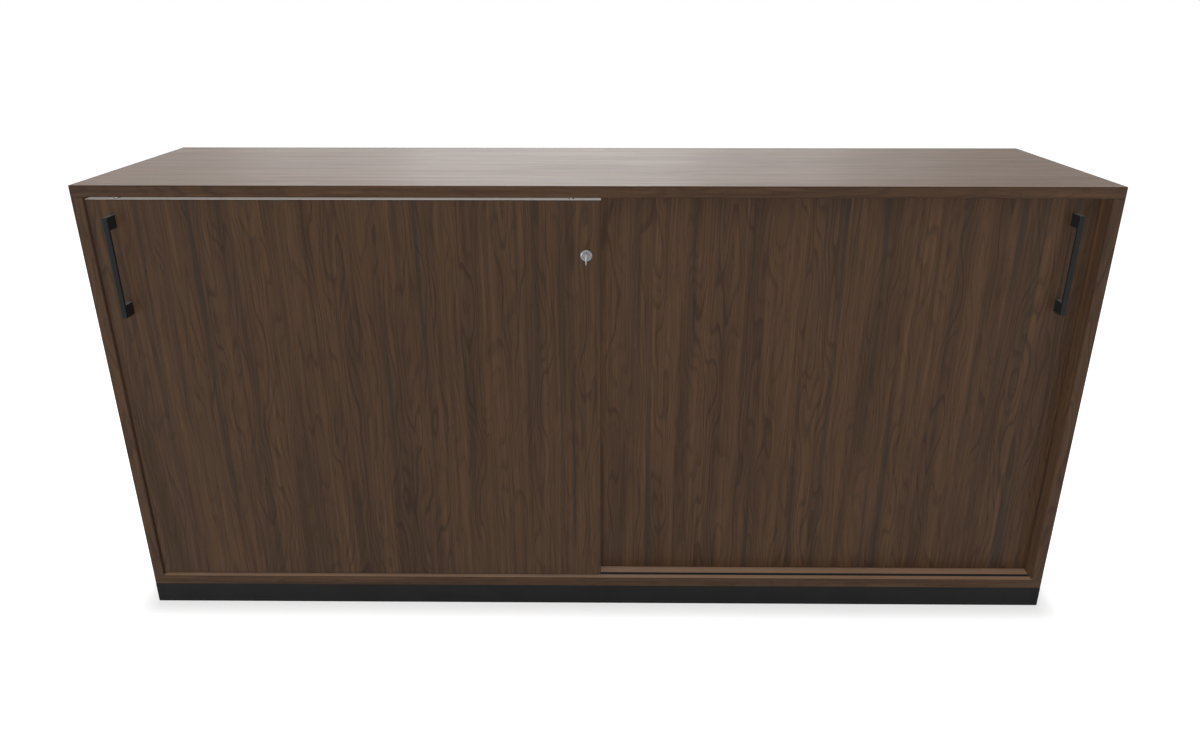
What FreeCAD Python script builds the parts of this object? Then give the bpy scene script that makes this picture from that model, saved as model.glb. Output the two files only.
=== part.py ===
"""Office credenza with two overlapping sliding doors, as a parametric document.

Frame: +X to the right, +Y to the back, +Z up, in millimetres. The origin is on the floor under the middle of
the carcass. Every size is set in the sheet, and every piece takes its sizes and its place from there.
"""
import FreeCAD, Part
import math
import os
import re
import Sketcher

# Each driving size: its name, its value and what it is.
SIZES = [
    ("width", 1600, "overall width of the carcass"),
    ("depth", 400, "overall depth of the carcass"),
    ("height", 757, "overall height"),
    ("board", 18, "thickness of the carcass boards"),
    ("edge_round", 0.8, "rounding of the boards' eased edges"),
    ("plinth_height", 37, "height of the plinth rails"),
    ("back_board", 8, "thickness of the back panel"),
    ("back_inset", 10, "back panel's distance from the back edges"),
    ("groove_bite", 8, "depth of the groove that holds the back panel"),
    ("groove_slack", 0.3, "room between the back panel's edges and the grooves"),
    ("fit_gap", 0.1, "clearance of a piece that is pushed into its seat"),
    ("running_gap", 0.05, "radial clearance of a shaft that turns or slides"),
    ("drill_room", 0.5, "how much deeper a blind bore is than what it takes"),
    # doors
    ("door_board", 18, "thickness of the doors"),
    ("door_setback", 4.3, "front door's distance behind the carcass front"),
    ("door_spacing", 8, "gap between the two doors"),
    ("door_overlap", 16, "overlap of the closed doors"),
    ("door_side_gap", 1, "gap between a closed door and its side panel"),
    ("door_floor_gap", 3, "gap under a door"),
    ("door_head_gap", 3.6, "gap over a door"),
    ("open_rest", 74, "gap between an open door's edge and the side panel"),
    ("partition_gap", 3.7, "gap between the rear door and the partition"),
    # tracks
    ("track_height", 6, "height of a track"),
    ("track_wall", 1, "wall of a track"),
    ("track_play", 0.5, "gap between a wheel's rim and each wall of its track"),
    ("stop_length", 20, "length of a travel stop"),
    ("stop_height", 4, "height of a travel stop"),
    ("stop_gap", 0.5, "gap between a stop and the guide pin of an open door"),
    # rollers
    ("roller_inset", 60, "wheel's distance from the door's edge"),
    ("wheel_radius", 12, "radius of a wheel"),
    ("wheel_width", 4, "width of a wheel's rim"),
    ("wheel_clearance", 0.3, "gap between a wheel and its track"),
    ("wheel_room", 2, "room round a wheel in its housing"),
    ("cheek_gap", 0.6, "gap between a wheel's rim and its housing's cheeks"),
    ("axle_radius", 2, "radius of a wheel's stub axles"),
    ("axle_length", 8.4, "length over both stub axles"),
    ("housing_length", 52, "length of a roller housing"),
    ("housing_width", 11, "width of a roller housing"),
    ("housing_roof", 5.7, "thickness of a roller housing over its wheel"),
    ("flange_length", 66, "length of its flange"),
    ("flange_width", 13.6, "width of its flange"),
    ("flange_board", 1.5, "thickness of its flange"),
    # sprung guides
    ("guide_inset", 45, "guide's distance from the door's edge"),
    ("sleeve_radius", 5, "radius of a guide sleeve"),
    ("sleeve_length", 32, "length of a guide sleeve"),
    ("sleeve_wall", 1.5, "floor and cap of a guide sleeve"),
    ("pin_radius", 3, "radius of a guide pin's body"),
    ("pin_body", 8, "length of a guide pin's body"),
    ("tip_play", 0.3, "gap between a guide pin's tip and each wall of its track"),
    ("tip_headroom", 1.5, "gap over the tip in its track"),
    ("spring_radius", 2.3, "mean radius of a guide spring"),
    ("wire_radius", 0.35, "radius of its wire"),
    ("spring_turns", 5, "turns of a guide spring"),
    # handles
    ("handle_inset", 37, "handle's distance from the door's outer edge"),
    ("handle_drop", 24, "handle's distance below the door's top"),
    ("handle_length", 160, "length of a handle"),
    ("handle_reach", 24.5, "how far a handle stands out"),
    ("handle_width", 8, "width of a handle's bar"),
    ("handle_bar", 4, "thickness of a handle's bar"),
    ("handle_post", 20, "length of a handle's posts"),
    ("handle_round", 0.6, "rounding of a handle's edges"),
    ("screw_radius", 2, "radius of a handle screw"),
    ("screw_bite", 9, "how far a handle screw enters its post"),
    ("screw_head", 4, "radius of its head"),
    ("head_height", 2.4, "height of its head"),
    ("shank_gap", 0.3, "clearance of a handle screw in the door"),
    # lock
    ("lock_drop", 87, "lock's distance below the door's top"),
    ("cam_play", 1, "gap between the cam, turned down, and the keeper's lip"),
    ("rim_lip", 1.3, "how far the lock's head stands out round its barrel"),
    ("rim_height", 4, "height of the lock's head"),
    ("rim_bevel", 2, "bevel of the lock's head"),
    ("barrel_radius", 8.2, "radius of the lock's barrel"),
    ("core_radius", 5, "radius of the turning core"),
    ("nut_wall", 2.3, "wall of the ring nut at its flats"),
    ("nut_board", 3.4, "thickness of the ring nut"),
    ("nut_recess", 4, "depth of the recess that takes the ring nut"),
    ("nut_room", 0.5, "room round the ring nut in its recess"),
    ("core_sunk", 0.2, "core's face, below the face of the head"),
    ("cam_gap", 1.7, "gap between the front door and the lock's cam"),
    ("cam_board", 2, "thickness of the cam"),
    ("cam_half_width", 5.5, "half the width of the cam"),
    ("cam_length", 26, "cam's reach from the lock's axis"),
    ("cam_square", 6, "side of the square that turns the cam"),
    ("key_board", 1.8, "thickness of the key's blade"),
    ("key_height", 7, "height of the key's blade"),
    ("key_depth", 16, "how far the key enters the core"),
    ("key_clearance", 0.2, "clearance of the key in its way"),
    ("key_taper", 2, "length of the key's pointed tip"),
    ("cut_pitch", 4, "pitch of the cuts in the key's blade"),
    ("cut_depth", 1.5, "depth of a cut"),
    ("blade_root", 3, "how far the blade enters the bow"),
    ("bow_radius", 10.5, "radius of the key's bow"),
    ("bow_board", 2.2, "thickness of the key's bow"),
    ("bow_reach", 20, "bow's centre, in front of the door"),
    ("bow_hole", 2.5, "radius of the hole in the bow"),
    ("keeper_board", 1.5, "thickness of the keeper plate"),
    ("keeper_width", 15, "width of the keeper plate"),
    ("keeper_height", 24, "height of the keeper plate"),
    ("keeper_row", 6, "keeper screws' distance from the plate's edges"),
    ("small_radius", 1.6, "radius of the small screws of the lock"),
    ("small_head", 3, "radius of their heads"),
    ("small_head_height", 1.6, "height of their heads"),
    ("small_length", 12, "length of a keeper screw"),
    ("cam_screw_length", 5.5, "length of the cam's screw in the core"),
    ("lip_drop", 13, "top of the keeper's lip, below the lock's axis"),
    ("lip_gap", 1.3, "gap between the lip and the front door"),
    # inside
    ("shelf_gap", 1, "gap at each end of a shelf"),
    ("shelf_recess", 10, "shelf's front, behind the partition's front"),
    ("shelf_back_gap", 2, "gap behind a shelf"),
    ("hole_pitch", 32, "pitch of the shelf pin holes"),
    ("hole_rows", 3, "rows of shelf pin holes"),
    ("hole_radius", 2.5, "radius of a shelf pin hole"),
    ("hole_floor", 1, "half the wood between two shelf pins back to back in the partition"),
    ("hole_front", 90, "front column of pin holes, behind the carcass front"),
    ("hole_back", 52, "back column, in front of the back panel"),
    ("lug_length", 9, "how far a shelf pin's lug stands out"),
    ("lug_width", 8, "width of the lug"),
    ("lug_board", 3, "thickness of the lug"),
    # fittings that join the boards
    ("fitting_front", 75, "front row of fittings, behind the carcass front"),
    ("fitting_back", 70, "back row of fittings, in front of the carcass back"),
    ("fitting_radius", 7.5, "radius of a cam fitting"),
    ("fitting_depth", 12.5, "depth of a cam fitting"),
    ("fitting_set", 24, "cam fitting's distance below the top panel"),
    # levelling feet
    ("socket_side", 40, "side of a foot's corner block"),
    ("foot_row", 80, "foot's distance from the carcass front or back"),
    ("stem_radius", 4, "radius of a foot's screw"),
    ("stem_top", 2, "top of the screw, below the plinth's top"),
    ("pad_radius", 15, "radius of a foot's pad"),
    ("pad_rise", 1, "pad's height over the floor when screwed in"),
    ("pad_room", 2, "gap between the pad's hub and the corner block"),
    ("pad_board", 5, "thickness of the pad"),
    ("pad_hub", 8, "radius of the pad's hub"),
    ("hub_height", 9, "height of the pad with its hub"),
    ("pad_floor", 2, "thickness of the pad under the screw"),
    ("slot_width", 1.2, "width of the screw's slot"),
    ("slot_depth", 2, "depth of the screw's slot"),
    ("access_radius", 5, "radius of the hole over a foot"),
    ("cap_lip", 2.5, "how far the cap over that hole reaches past it"),
    ("cap_board", 1.2, "thickness of the cap"),
    ("cap_plug", 6, "length of the cap's plug"),
]

# Places and lengths that follow from the driving sizes.
DERIVED = {
    "inner_x": "width / 2 - board",
    "front_y": "0 - depth / 2",
    "floor_z": "plinth_height + board",
    "ceiling_z": "height - board",
    "inner_height": "ceiling_z - floor_z",
    "back_y": "depth / 2 - back_inset - back_board",
    "back_bite": "groove_bite - groove_slack",
    "front_door_y": "front_y + door_setback",
    "rear_door_y": "front_door_y + door_board + door_spacing",
    "door_width": "inner_x - door_side_gap + door_overlap / 2",
    "door_bottom": "floor_z + door_floor_gap",
    "door_top": "ceiling_z - door_head_gap",
    "door_height": "door_top - door_bottom",
    "closed_edge": "inner_x - door_side_gap",
    "front_track_y": "front_door_y + door_board / 2",
    "rear_track_y": "rear_door_y + door_board / 2",
    "door_travel": "inner_x - door_overlap / 2 - open_rest",
    "track_inside": "wheel_width + 2 * track_play",
    "track_width": "track_inside + 2 * track_wall",
    "partition_y": "rear_door_y + door_board + partition_gap",
    "wheel_z": "floor_z - track_height + track_wall + wheel_clearance + wheel_radius",
    "slot_length": "2 * (wheel_radius + wheel_room)",
    "slot_gap": "wheel_width + 2 * cheek_gap",
    "slot_height": "wheel_z + wheel_radius + wheel_room - door_bottom",
    "housing_height": "slot_height + housing_roof",
    "tip_radius": "track_inside / 2 - tip_play",
    "tip_reach": "door_head_gap + track_height - track_wall - tip_headroom",
    "spring_bottom": "door_top - sleeve_length + sleeve_wall",
    "pin_bottom": "door_top - sleeve_wall - pin_body",
    "handle_x": "closed_edge - handle_inset",
    "handle_z": "door_top - handle_drop - handle_length",
    "lock_x": "0 - door_overlap / 2 - cam_play - cam_half_width",
    "lock_z": "door_top - lock_drop",
    "rim_radius": "barrel_radius + rim_lip",
    "nut_width": "2 * (barrel_radius + nut_wall)",
    "nut_corner": "nut_width / sqrt(3)",
    "cam_level": "0 - door_board - cam_gap",
    "core_front": "rim_height - core_sunk",
    "lip_height": "cam_length - lip_drop",
    "keeper_z": "lock_z - lip_drop - lip_height / 2 - keeper_height / 2",
    "bay_length": "inner_x - board / 2",
    "pin_row_z": "floor_z + inner_height / 2 - board / 2 - lug_board",
    "first_row_z": "pin_row_z - hole_pitch * (hole_rows - 1) / 2",
    "hole_depth": "board / 2 - hole_floor",
    "front_pin_y": "front_y + hole_front",
    "back_pin_y": "back_y - hole_back",
    "shelf_z": "pin_row_z + lug_board / 2",
    "fitting_front_y": "front_y + fitting_front",
    "fitting_back_y": "depth / 2 - fitting_back",
    "socket_height": "plinth_height - pad_rise - hub_height - pad_room",
    "foot_x": "inner_x - socket_side / 2",
    "foot_y": "depth / 2 - foot_row",
}

# Heights of the two keeper screws on their plate, and the number of cuts in the key.
KEEPER_ROWS = ("keeper_row", "keeper_height - keeper_row")
KEY_CUTS = 2

# How near, in millimetres, counts as being in a plane.
NEAR = 0.01

X_AXIS = FreeCAD.Vector(1, 0, 0)
Y_AXIS = FreeCAD.Vector(0, 1, 0)
Z_AXIS = FreeCAD.Vector(0, 0, 1)

# Turns a piece drawn standing up so that its top faces the front, the back, the right or the left.
TO_FRONT = FreeCAD.Rotation(X_AXIS, 90)
TO_RIGHT = FreeCAD.Rotation(Y_AXIS, 90)
TO_LEFT = FreeCAD.Rotation(Y_AXIS, -90)
UPSIDE_DOWN = FreeCAD.Rotation(X_AXIS, 180)
HALF_TURN = FreeCAD.Rotation(Z_AXIS, 180)
UPRIGHT = FreeCAD.Rotation()

DOC = FreeCAD.newDocument("credenza")
SHEET = DOC.addObject("Spreadsheet::Sheet", "Sizes")
NODES = {}


def fill_sheet():
    """Write each driving size into the sheet, under its own name."""
    for row, (name, number, meaning) in enumerate(SIZES, start=1):
        SHEET.set(f"A{row}", name)
        SHEET.set(f"B{row}", str(number))
        SHEET.setAlias(f"B{row}", name)
        SHEET.set(f"C{row}", meaning)
    DOC.recompute()


def expression(text):
    """Spell out sizes and derived places, so that the sheet can work the text out."""
    names = {name for name, _, _ in SIZES}

    def spell(match):
        word = match.group(0)
        if word in DERIVED:
            return "(" + expression(DERIVED[word]) + ")"
        if word == "sqrt":
            return word
        if word not in names:
            raise KeyError(f"no size is called {word}")
        return "Sizes." + word

    return re.sub(r"[a-z_]+", spell, text)


def number(text):
    """The value of an expression, in millimetres."""
    return float(SHEET.evalExpression(expression(text)))


def put(thing, x="0", y="0", z="0", turn=UPRIGHT):
    """Turn a thing and bind its place."""
    thing.Placement = FreeCAD.Placement(FreeCAD.Vector(number(x), number(y), number(z)), turn)
    for axis, place in zip("xyz", (x, y, z)):
        thing.setExpression(f"Placement.Base.{axis}", expression(place))


def constrain(sketch, kind, parts, text):
    """Add one constraint and bind it."""
    index = sketch.addConstraint(Sketcher.Constraint(kind, *parts, number(text)))
    sketch.setExpression(f"Constraints[{index}]", expression(text))


def polygon(sketch, points):
    """Draw a closed outline whose corners are given as pairs of expressions."""
    corners = [FreeCAD.Vector(number(x), number(y), 0) for x, y in points]
    first = sketch.GeometryCount
    count = len(corners)
    for i in range(count):
        sketch.addGeometry(Part.LineSegment(corners[i], corners[(i + 1) % count]), False)
    for i in range(count):
        after = first + (i + 1) % count
        sketch.addConstraint(Sketcher.Constraint("Coincident", first + i, 2, after, 1))
    for i, (x, y) in enumerate(points):
        constrain(sketch, "DistanceX", (-1, 1, first + i, 1), x)
        constrain(sketch, "DistanceY", (-1, 1, first + i, 1), y)


def rectangle(sketch, x, y, wide, tall):
    """Draw a rectangle from its lower left corner."""
    right = f"{x} + {wide}"
    upper = f"{y} + {tall}"
    polygon(sketch, [(x, y), (right, y), (right, upper), (x, upper)])


def circle(sketch, x, y, radius):
    """Draw a circle."""
    centre = FreeCAD.Vector(number(x), number(y), 0)
    index = sketch.addGeometry(Part.Circle(centre, Z_AXIS, number(radius)), False)
    constrain(sketch, "DistanceX", (-1, 1, index, 3), x)
    constrain(sketch, "DistanceY", (-1, 1, index, 3), y)
    constrain(sketch, "Radius", (index,), radius)


def obround(sketch, start_x, end_x, radius):
    """Draw a bar with two round ends along the sketch's first axis, from one centre to the other."""
    low = min(number(start_x), number(end_x))
    high = max(number(start_x), number(end_x))
    r = number(radius)
    left = Part.Circle(FreeCAD.Vector(low, 0, 0), Z_AXIS, r)
    right = Part.Circle(FreeCAD.Vector(high, 0, 0), Z_AXIS, r)
    a = sketch.addGeometry(Part.ArcOfCircle(left, math.pi / 2, 3 * math.pi / 2), False)
    b = sketch.addGeometry(Part.ArcOfCircle(right, -math.pi / 2, math.pi / 2), False)
    lower = Part.LineSegment(FreeCAD.Vector(low, -r, 0), FreeCAD.Vector(high, -r, 0))
    upper = Part.LineSegment(FreeCAD.Vector(high, r, 0), FreeCAD.Vector(low, r, 0))
    c = sketch.addGeometry(lower, False)
    d = sketch.addGeometry(upper, False)
    for one, one_end, other, other_end in ((a, 2, c, 1), (c, 2, b, 1), (b, 2, d, 1), (d, 2, a, 1)):
        sketch.addConstraint(Sketcher.Constraint("Tangent", one, one_end, other, other_end))
    sketch.addConstraint(Sketcher.Constraint("Equal", a, b))
    constrain(sketch, "Radius", (a,), radius)
    sketch.addConstraint(Sketcher.Constraint("PointOnObject", a, 3, -1))
    sketch.addConstraint(Sketcher.Constraint("PointOnObject", b, 3, -1))
    constrain(sketch, "DistanceX", (-1, 1, a, 3), start_x if number(start_x) == low else end_x)
    constrain(sketch, "DistanceX", (-1, 1, b, 3), end_x if number(start_x) == low else start_x)


class Piece:
    """One body, built up from sketches and features that are bound to the sheet."""

    def __init__(self, name, x="0", y="0", z="0", turn=UPRIGHT, node=True):
        self.name = name
        self.body = DOC.addObject("PartDesign::Body", name)
        self.body.Label = name
        put(self.body, x, y, z, turn)
        if node:
            NODES[name] = self.body

    def plane(self, role):
        """One of the body's own origin planes."""
        return next(f for f in self.body.Origin.OriginFeatures if f.Role == role)

    def sketch(self, role, level="0"):
        """A sketch on an origin plane, or at a level along its normal."""
        sketch = self.body.newObject("Sketcher::SketchObject", self.name + "_sketch")
        sketch.AttachmentSupport = [(self.plane(role), "")]
        sketch.MapMode = "FlatFace"
        sketch.setExpression("AttachmentOffset.Base.z", expression(level))
        return sketch

    def pad(self, sketch, length, backwards=False, both_ways=False):
        """Add material: along the sketch's normal, against it, or half each way."""
        pad = self.body.newObject("PartDesign::Pad", self.name + "_pad")
        pad.Profile = sketch
        pad.SideType = "Symmetric" if both_ways else "One side"
        pad.Reversed = backwards
        pad.setExpression("Length", expression(length))
        return pad

    def pocket(self, sketch, depth, along_normal=False):
        """Cut against the sketch's normal, or along it, and make sure that something was cut."""
        DOC.recompute()
        before = self.body.Shape.Volume
        pocket = self.body.newObject("PartDesign::Pocket", self.name + "_pocket")
        pocket.Profile = sketch
        pocket.Reversed = along_normal
        pocket.setExpression("Length", expression(depth))
        DOC.recompute()
        if self.body.Shape.Volume > before - 1e-3:
            raise RuntimeError(f"a pocket in {self.name} cuts nothing")
        return pocket

    def revolve(self, points):
        """Turn an outline of (radius, height) pairs about the body's own upright axis."""
        sketch = self.sketch("XZ_Plane")
        polygon(sketch, points)
        turned = self.body.newObject("PartDesign::Revolution", self.name + "_revolution")
        turned.Profile = sketch
        turned.ReferenceAxis = (sketch, ["V_Axis"])
        turned.Angle = 360
        return turned

    def fillet(self, feature, radius, chosen):
        """Round the edges whose middle satisfies the test."""
        DOC.recompute()
        names = [
            f"Edge{i}"
            for i, edge in enumerate(feature.Shape.Edges, start=1)
            if chosen(edge.valueAt((edge.FirstParameter + edge.LastParameter) / 2))
        ]
        fillet = self.body.newObject("PartDesign::Fillet", self.name + "_fillet")
        fillet.Base = (feature, names)
        fillet.setExpression("Radius", expression(radius))
        return fillet


def copies(name, seed, places):
    """Make a node of several like solids: links to one seed body, each at its own place."""
    links = []
    for x, y, z, turn in places:
        link = DOC.addObject("App::Link", name + "_copy")
        link.LinkedObject = seed.body
        put(link, x, y, z, turn)
        links.append(link)
    group = DOC.addObject("Part::Compound", name)
    group.Label = name
    group.Links = links
    NODES[name] = group


def block(name, x, y, z, wide, deep, tall, node=True):
    """A square-edged board or block from its lower left front corner."""
    piece = Piece(name, x, y, z, node=node)
    sketch = piece.sketch("XY_Plane")
    rectangle(sketch, "0", "0", wide, deep)
    piece.base = piece.pad(sketch, tall)
    return piece


# ---------------------------------------------------------------- carcass

def lies_in_front(middle):
    """Whether a point is on the front face of a board drawn backwards from its own origin."""
    return abs(middle.y) < NEAR


def cut_tracks_and_back_groove(piece, level, along_normal):
    """Rout the two track grooves and the groove for the back panel."""
    tracks = piece.sketch("XY_Plane", level)
    for y in ("front_track_y", "rear_track_y"):
        side_y = f"{y} + depth / 2 - track_width / 2 - fit_gap"
        rectangle(tracks, "board", side_y, "2 * inner_x", "track_width + 2 * fit_gap")
    piece.pocket(tracks, "track_height", along_normal)
    groove = piece.sketch("XY_Plane", level)
    groove_y = "back_y + depth / 2 - fit_gap"
    groove_x = "board - groove_bite"
    rectangle(groove, groove_x, groove_y, "2 * inner_x + 2 * groove_bite", "back_board + 2 * fit_gap")
    piece.pocket(groove, "groove_bite", along_normal)


def top_panel():
    """The top: worked from below, with its upper edges and its front eased."""
    piece = block("top_panel", "0 - width / 2", "front_y", "ceiling_z", "width", "depth", "board")
    upper = number("board")
    piece.fillet(piece.base, "edge_round", lambda middle: middle.z > upper - NEAR or lies_in_front(middle))
    cut_tracks_and_back_groove(piece, "0", True)


def bottom_panel():
    """The bottom: worked from above, with its front eased and a hole over each levelling foot."""
    piece = block("bottom_panel", "0 - width / 2", "front_y", "plinth_height", "width", "depth", "board")
    piece.fillet(piece.base, "edge_round", lies_in_front)
    cut_tracks_and_back_groove(piece, "board", False)
    access = piece.sketch("XY_Plane", "board")
    for x in ("width / 2 - foot_x", "width / 2 + foot_x"):
        for y in ("depth / 2 - foot_y", "depth / 2 + foot_y"):
            circle(access, x, y, "access_radius")
    piece.pocket(access, "board")


def cut_fitting_seats(piece, along_normal):
    """Bore the round seats of the cam fittings into the inner face of a side panel."""
    seats = piece.sketch("YZ_Plane")
    for y in ("fitting_front_y + depth / 2", "fitting_back_y + depth / 2"):
        circle(seats, y, "inner_height - fitting_set", "fitting_radius + fit_gap")
    piece.pocket(seats, "fitting_depth + fit_gap", along_normal)


def cut_pin_holes(piece, level, depth, along_normal):
    """Bore two columns of shelf pin holes."""
    holes = piece.sketch("YZ_Plane", level)
    for y in ("front_pin_y + depth / 2", "back_pin_y + depth / 2"):
        circle(holes, y, "first_row_z - floor_z", "hole_radius")
    first = piece.pocket(holes, depth, along_normal)
    pattern = piece.body.newObject("PartDesign::LinearPattern", piece.name + "_pattern")
    pattern.Originals = [first]
    pattern.Direction = (holes, ["V_Axis"])
    pattern.setExpression("Length", expression("hole_pitch * (hole_rows - 1)"))
    pattern.setExpression("Occurrences", expression("hole_rows"))
    piece.body.Tip = pattern


def side_panel(name, sign):
    """A side panel, drawn from its inner face outwards: sign is -1 for the left one and 1 for the right."""
    outward_is_normal = sign > 0
    piece = Piece(name, f"{sign} * inner_x", "front_y", "floor_z")
    sketch = piece.sketch("YZ_Plane")
    rectangle(sketch, "0", "0", "depth", "inner_height")
    slab = piece.pad(sketch, "board", backwards=not outward_is_normal)
    piece.fillet(slab, "edge_round", lies_in_front)
    groove = piece.sketch("YZ_Plane")
    rectangle(groove, "back_y + depth / 2 - fit_gap", "0", "back_board + 2 * fit_gap", "inner_height")
    piece.pocket(groove, "groove_bite", outward_is_normal)
    cut_fitting_seats(piece, outward_is_normal)
    cut_pin_holes(piece, "0", "hole_depth", outward_is_normal)


def centre_partition():
    """The upright board between the two bays, clear of the rear door."""
    piece = Piece("centre_partition", "0", "front_y", "floor_z")
    sketch = piece.sketch("YZ_Plane", "0 - board / 2")
    rectangle(sketch, "partition_y + depth / 2", "0", "back_y - partition_y", "inner_height")
    piece.pad(sketch, "board")
    cut_pin_holes(piece, "board / 2", "board", False)


def back_panel():
    """The thin back, held in a groove all round."""
    wide = "2 * (inner_x + back_bite)"
    tall = "inner_height + 2 * back_bite"
    block("back_panel", "0 - inner_x - back_bite", "back_y", "floor_z - back_bite", wide, "back_board", tall)


def shelves():
    """One shelf in each bay, lying on four pins."""
    length = "bay_length - 2 * shelf_gap"
    depth = "back_y - shelf_back_gap - partition_y - shelf_recess"
    for name, x in (("left_shelf", "0 - inner_x + shelf_gap"), ("right_shelf", "board / 2 + shelf_gap")):
        block(name, x, "partition_y + shelf_recess", "shelf_z", length, depth, "board")
    pin = Piece("one_shelf_pin", node=False)
    stem = pin.sketch("XY_Plane", "fit_gap - hole_depth")
    circle(stem, "0", "0", "hole_radius - running_gap")
    pin.pad(stem, "hole_depth - fit_gap")
    lug = pin.sketch("XY_Plane")
    rectangle(lug, "0 - lug_board / 2", "0 - lug_width / 2", "lug_board", "lug_width")
    pin.pad(lug, "lug_length")
    places = []
    for y in ("front_pin_y", "back_pin_y"):
        places.append(("0 - inner_x", y, "pin_row_z", TO_RIGHT))
        places.append(("0 - board / 2", y, "pin_row_z", TO_LEFT))
        places.append(("board / 2", y, "pin_row_z", TO_RIGHT))
        places.append(("inner_x", y, "pin_row_z", TO_LEFT))
    copies("shelf_pins", pin, places)


def cam_fittings():
    """The round cam fittings that hold the top on the side panels."""
    fitting = Piece("one_cam_fitting", node=False)
    drum = fitting.sketch("XY_Plane")
    circle(drum, "0", "0", "fitting_radius")
    fitting.pad(drum, "fitting_depth", backwards=True)
    places = []
    for x, turn in (("0 - inner_x", TO_RIGHT), ("inner_x", TO_LEFT)):
        for y in ("fitting_front_y", "fitting_back_y"):
            places.append((x, y, "ceiling_z - fitting_set", turn))
    copies("cam_fittings", fitting, places)


def track(name, y, z, turn):
    """A channel along the carcass, open upwards until it is turned."""
    piece = Piece(name, "0", y, z, turn)
    section = piece.sketch("YZ_Plane")
    right = [
        ("track_width / 2", "0"),
        ("track_width / 2", "track_height"),
        ("track_inside / 2", "track_height"),
        ("track_inside / 2", "track_wall"),
    ]
    left = [(f"0 - {x}", level) for x, level in reversed(right)]
    polygon(section, right + left)
    piece.pad(section, "2 * inner_x - 2 * fit_gap", both_ways=True)


def tracks():
    """Running tracks in the floor, guide tracks overhead and the stops that end the doors' travel."""
    for door, y in (("front", "front_track_y"), ("rear", "rear_track_y")):
        track(f"{door}_running_track", y, "floor_z - track_height", UPRIGHT)
        track(f"{door}_guide_track", y, "ceiling_z + track_height", UPSIDE_DOWN)
    stop = Piece("one_track_stop", node=False)
    foot = stop.sketch("XY_Plane")
    half_stop = "(track_inside / 2 - fit_gap)"
    rectangle(foot, "0", f"0 - {half_stop}", "stop_length", f"2 * {half_stop}")
    stop.pad(foot, "stop_height")
    reach = "door_overlap / 2 - guide_inset + door_travel + tip_radius + stop_gap"
    level = "ceiling_z + track_height - track_wall - stop_height"
    places = [
        (reach, "front_track_y", level, UPRIGHT),
        (f"0 - ({reach})", "rear_track_y", level, HALF_TURN),
    ]
    copies("guide_track_stops", stop, places)


# ---------------------------------------------------------------- plinth and feet

def plinth():
    """A flush frame of rails, with a cross rail under the partition."""
    rail = "board"
    between = "2 * inner_x"
    block("front_plinth_rail", "0 - inner_x", "front_y", "0", between, rail, "plinth_height")
    block("back_plinth_rail", "0 - inner_x", "depth / 2 - board", "0", between, rail, "plinth_height")
    block("left_plinth_rail", "0 - width / 2", "front_y", "0", rail, "depth", "plinth_height")
    block("right_plinth_rail", "inner_x", "front_y", "0", rail, "depth", "plinth_height")
    inner_depth = "depth - 2 * board"
    centre_y = "front_y + board"
    block("centre_plinth_rail", "0 - board / 2", centre_y, "0", rail, inner_depth, "plinth_height")


def feet():
    """Four levelling feet: a threaded block, a pad, a screw and a cap over each."""
    corners = {
        "front_left": ("0 - foot_x", "0 - foot_y"),
        "front_right": ("foot_x", "0 - foot_y"),
        "back_left": ("0 - foot_x", "foot_y"),
        "back_right": ("foot_x", "foot_y"),
    }
    socket = Piece("one_leveller_socket", node=False)
    base = socket.sketch("XY_Plane")
    rectangle(base, "0 - socket_side / 2", "0 - socket_side / 2", "socket_side", "socket_side")
    circle(base, "0", "0", "stem_radius + running_gap")
    socket.pad(base, "socket_height")
    cap = Piece("one_access_cap", node=False)
    disc = cap.sketch("XY_Plane")
    circle(disc, "0", "0", "access_radius + cap_lip")
    cap.pad(disc, "cap_board")
    plug = cap.sketch("XY_Plane")
    circle(plug, "0", "0", "access_radius - fit_gap")
    cap.pad(plug, "cap_plug", backwards=True)
    socket_z = "plinth_height - socket_height"
    copies("leveller_sockets", socket, [(x, y, socket_z, UPRIGHT) for x, y in corners.values()])
    copies("access_caps", cap, [(x, y, "floor_z", UPRIGHT) for x, y in corners.values()])
    for corner, (x, y) in corners.items():
        pad = Piece(corner + "_foot_pad", x, y, "pad_rise")
        pad.revolve(
            [
                ("0", "0"),
                ("pad_radius", "0"),
                ("pad_radius", "pad_board"),
                ("pad_hub", "pad_board"),
                ("pad_hub", "hub_height"),
                ("stem_radius + running_gap", "hub_height"),
                ("stem_radius + running_gap", "pad_floor"),
                ("0", "pad_floor"),
            ]
        )
        stem = Piece(corner + "_foot_screw", x, y, "0")
        stem_bottom = "pad_rise + pad_floor + fit_gap"
        stem.revolve(
            [
                ("0", stem_bottom),
                ("stem_radius", stem_bottom),
                ("stem_radius", "plinth_height - stem_top"),
                ("0", "plinth_height - stem_top"),
            ]
        )
        slot = stem.sketch("XY_Plane", "plinth_height - stem_top")
        rectangle(slot, "0 - stem_radius", "0 - slot_width / 2", "2 * stem_radius", "slot_width")
        stem.pocket(slot, "slot_depth")


# ---------------------------------------------------------------- doors

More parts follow.
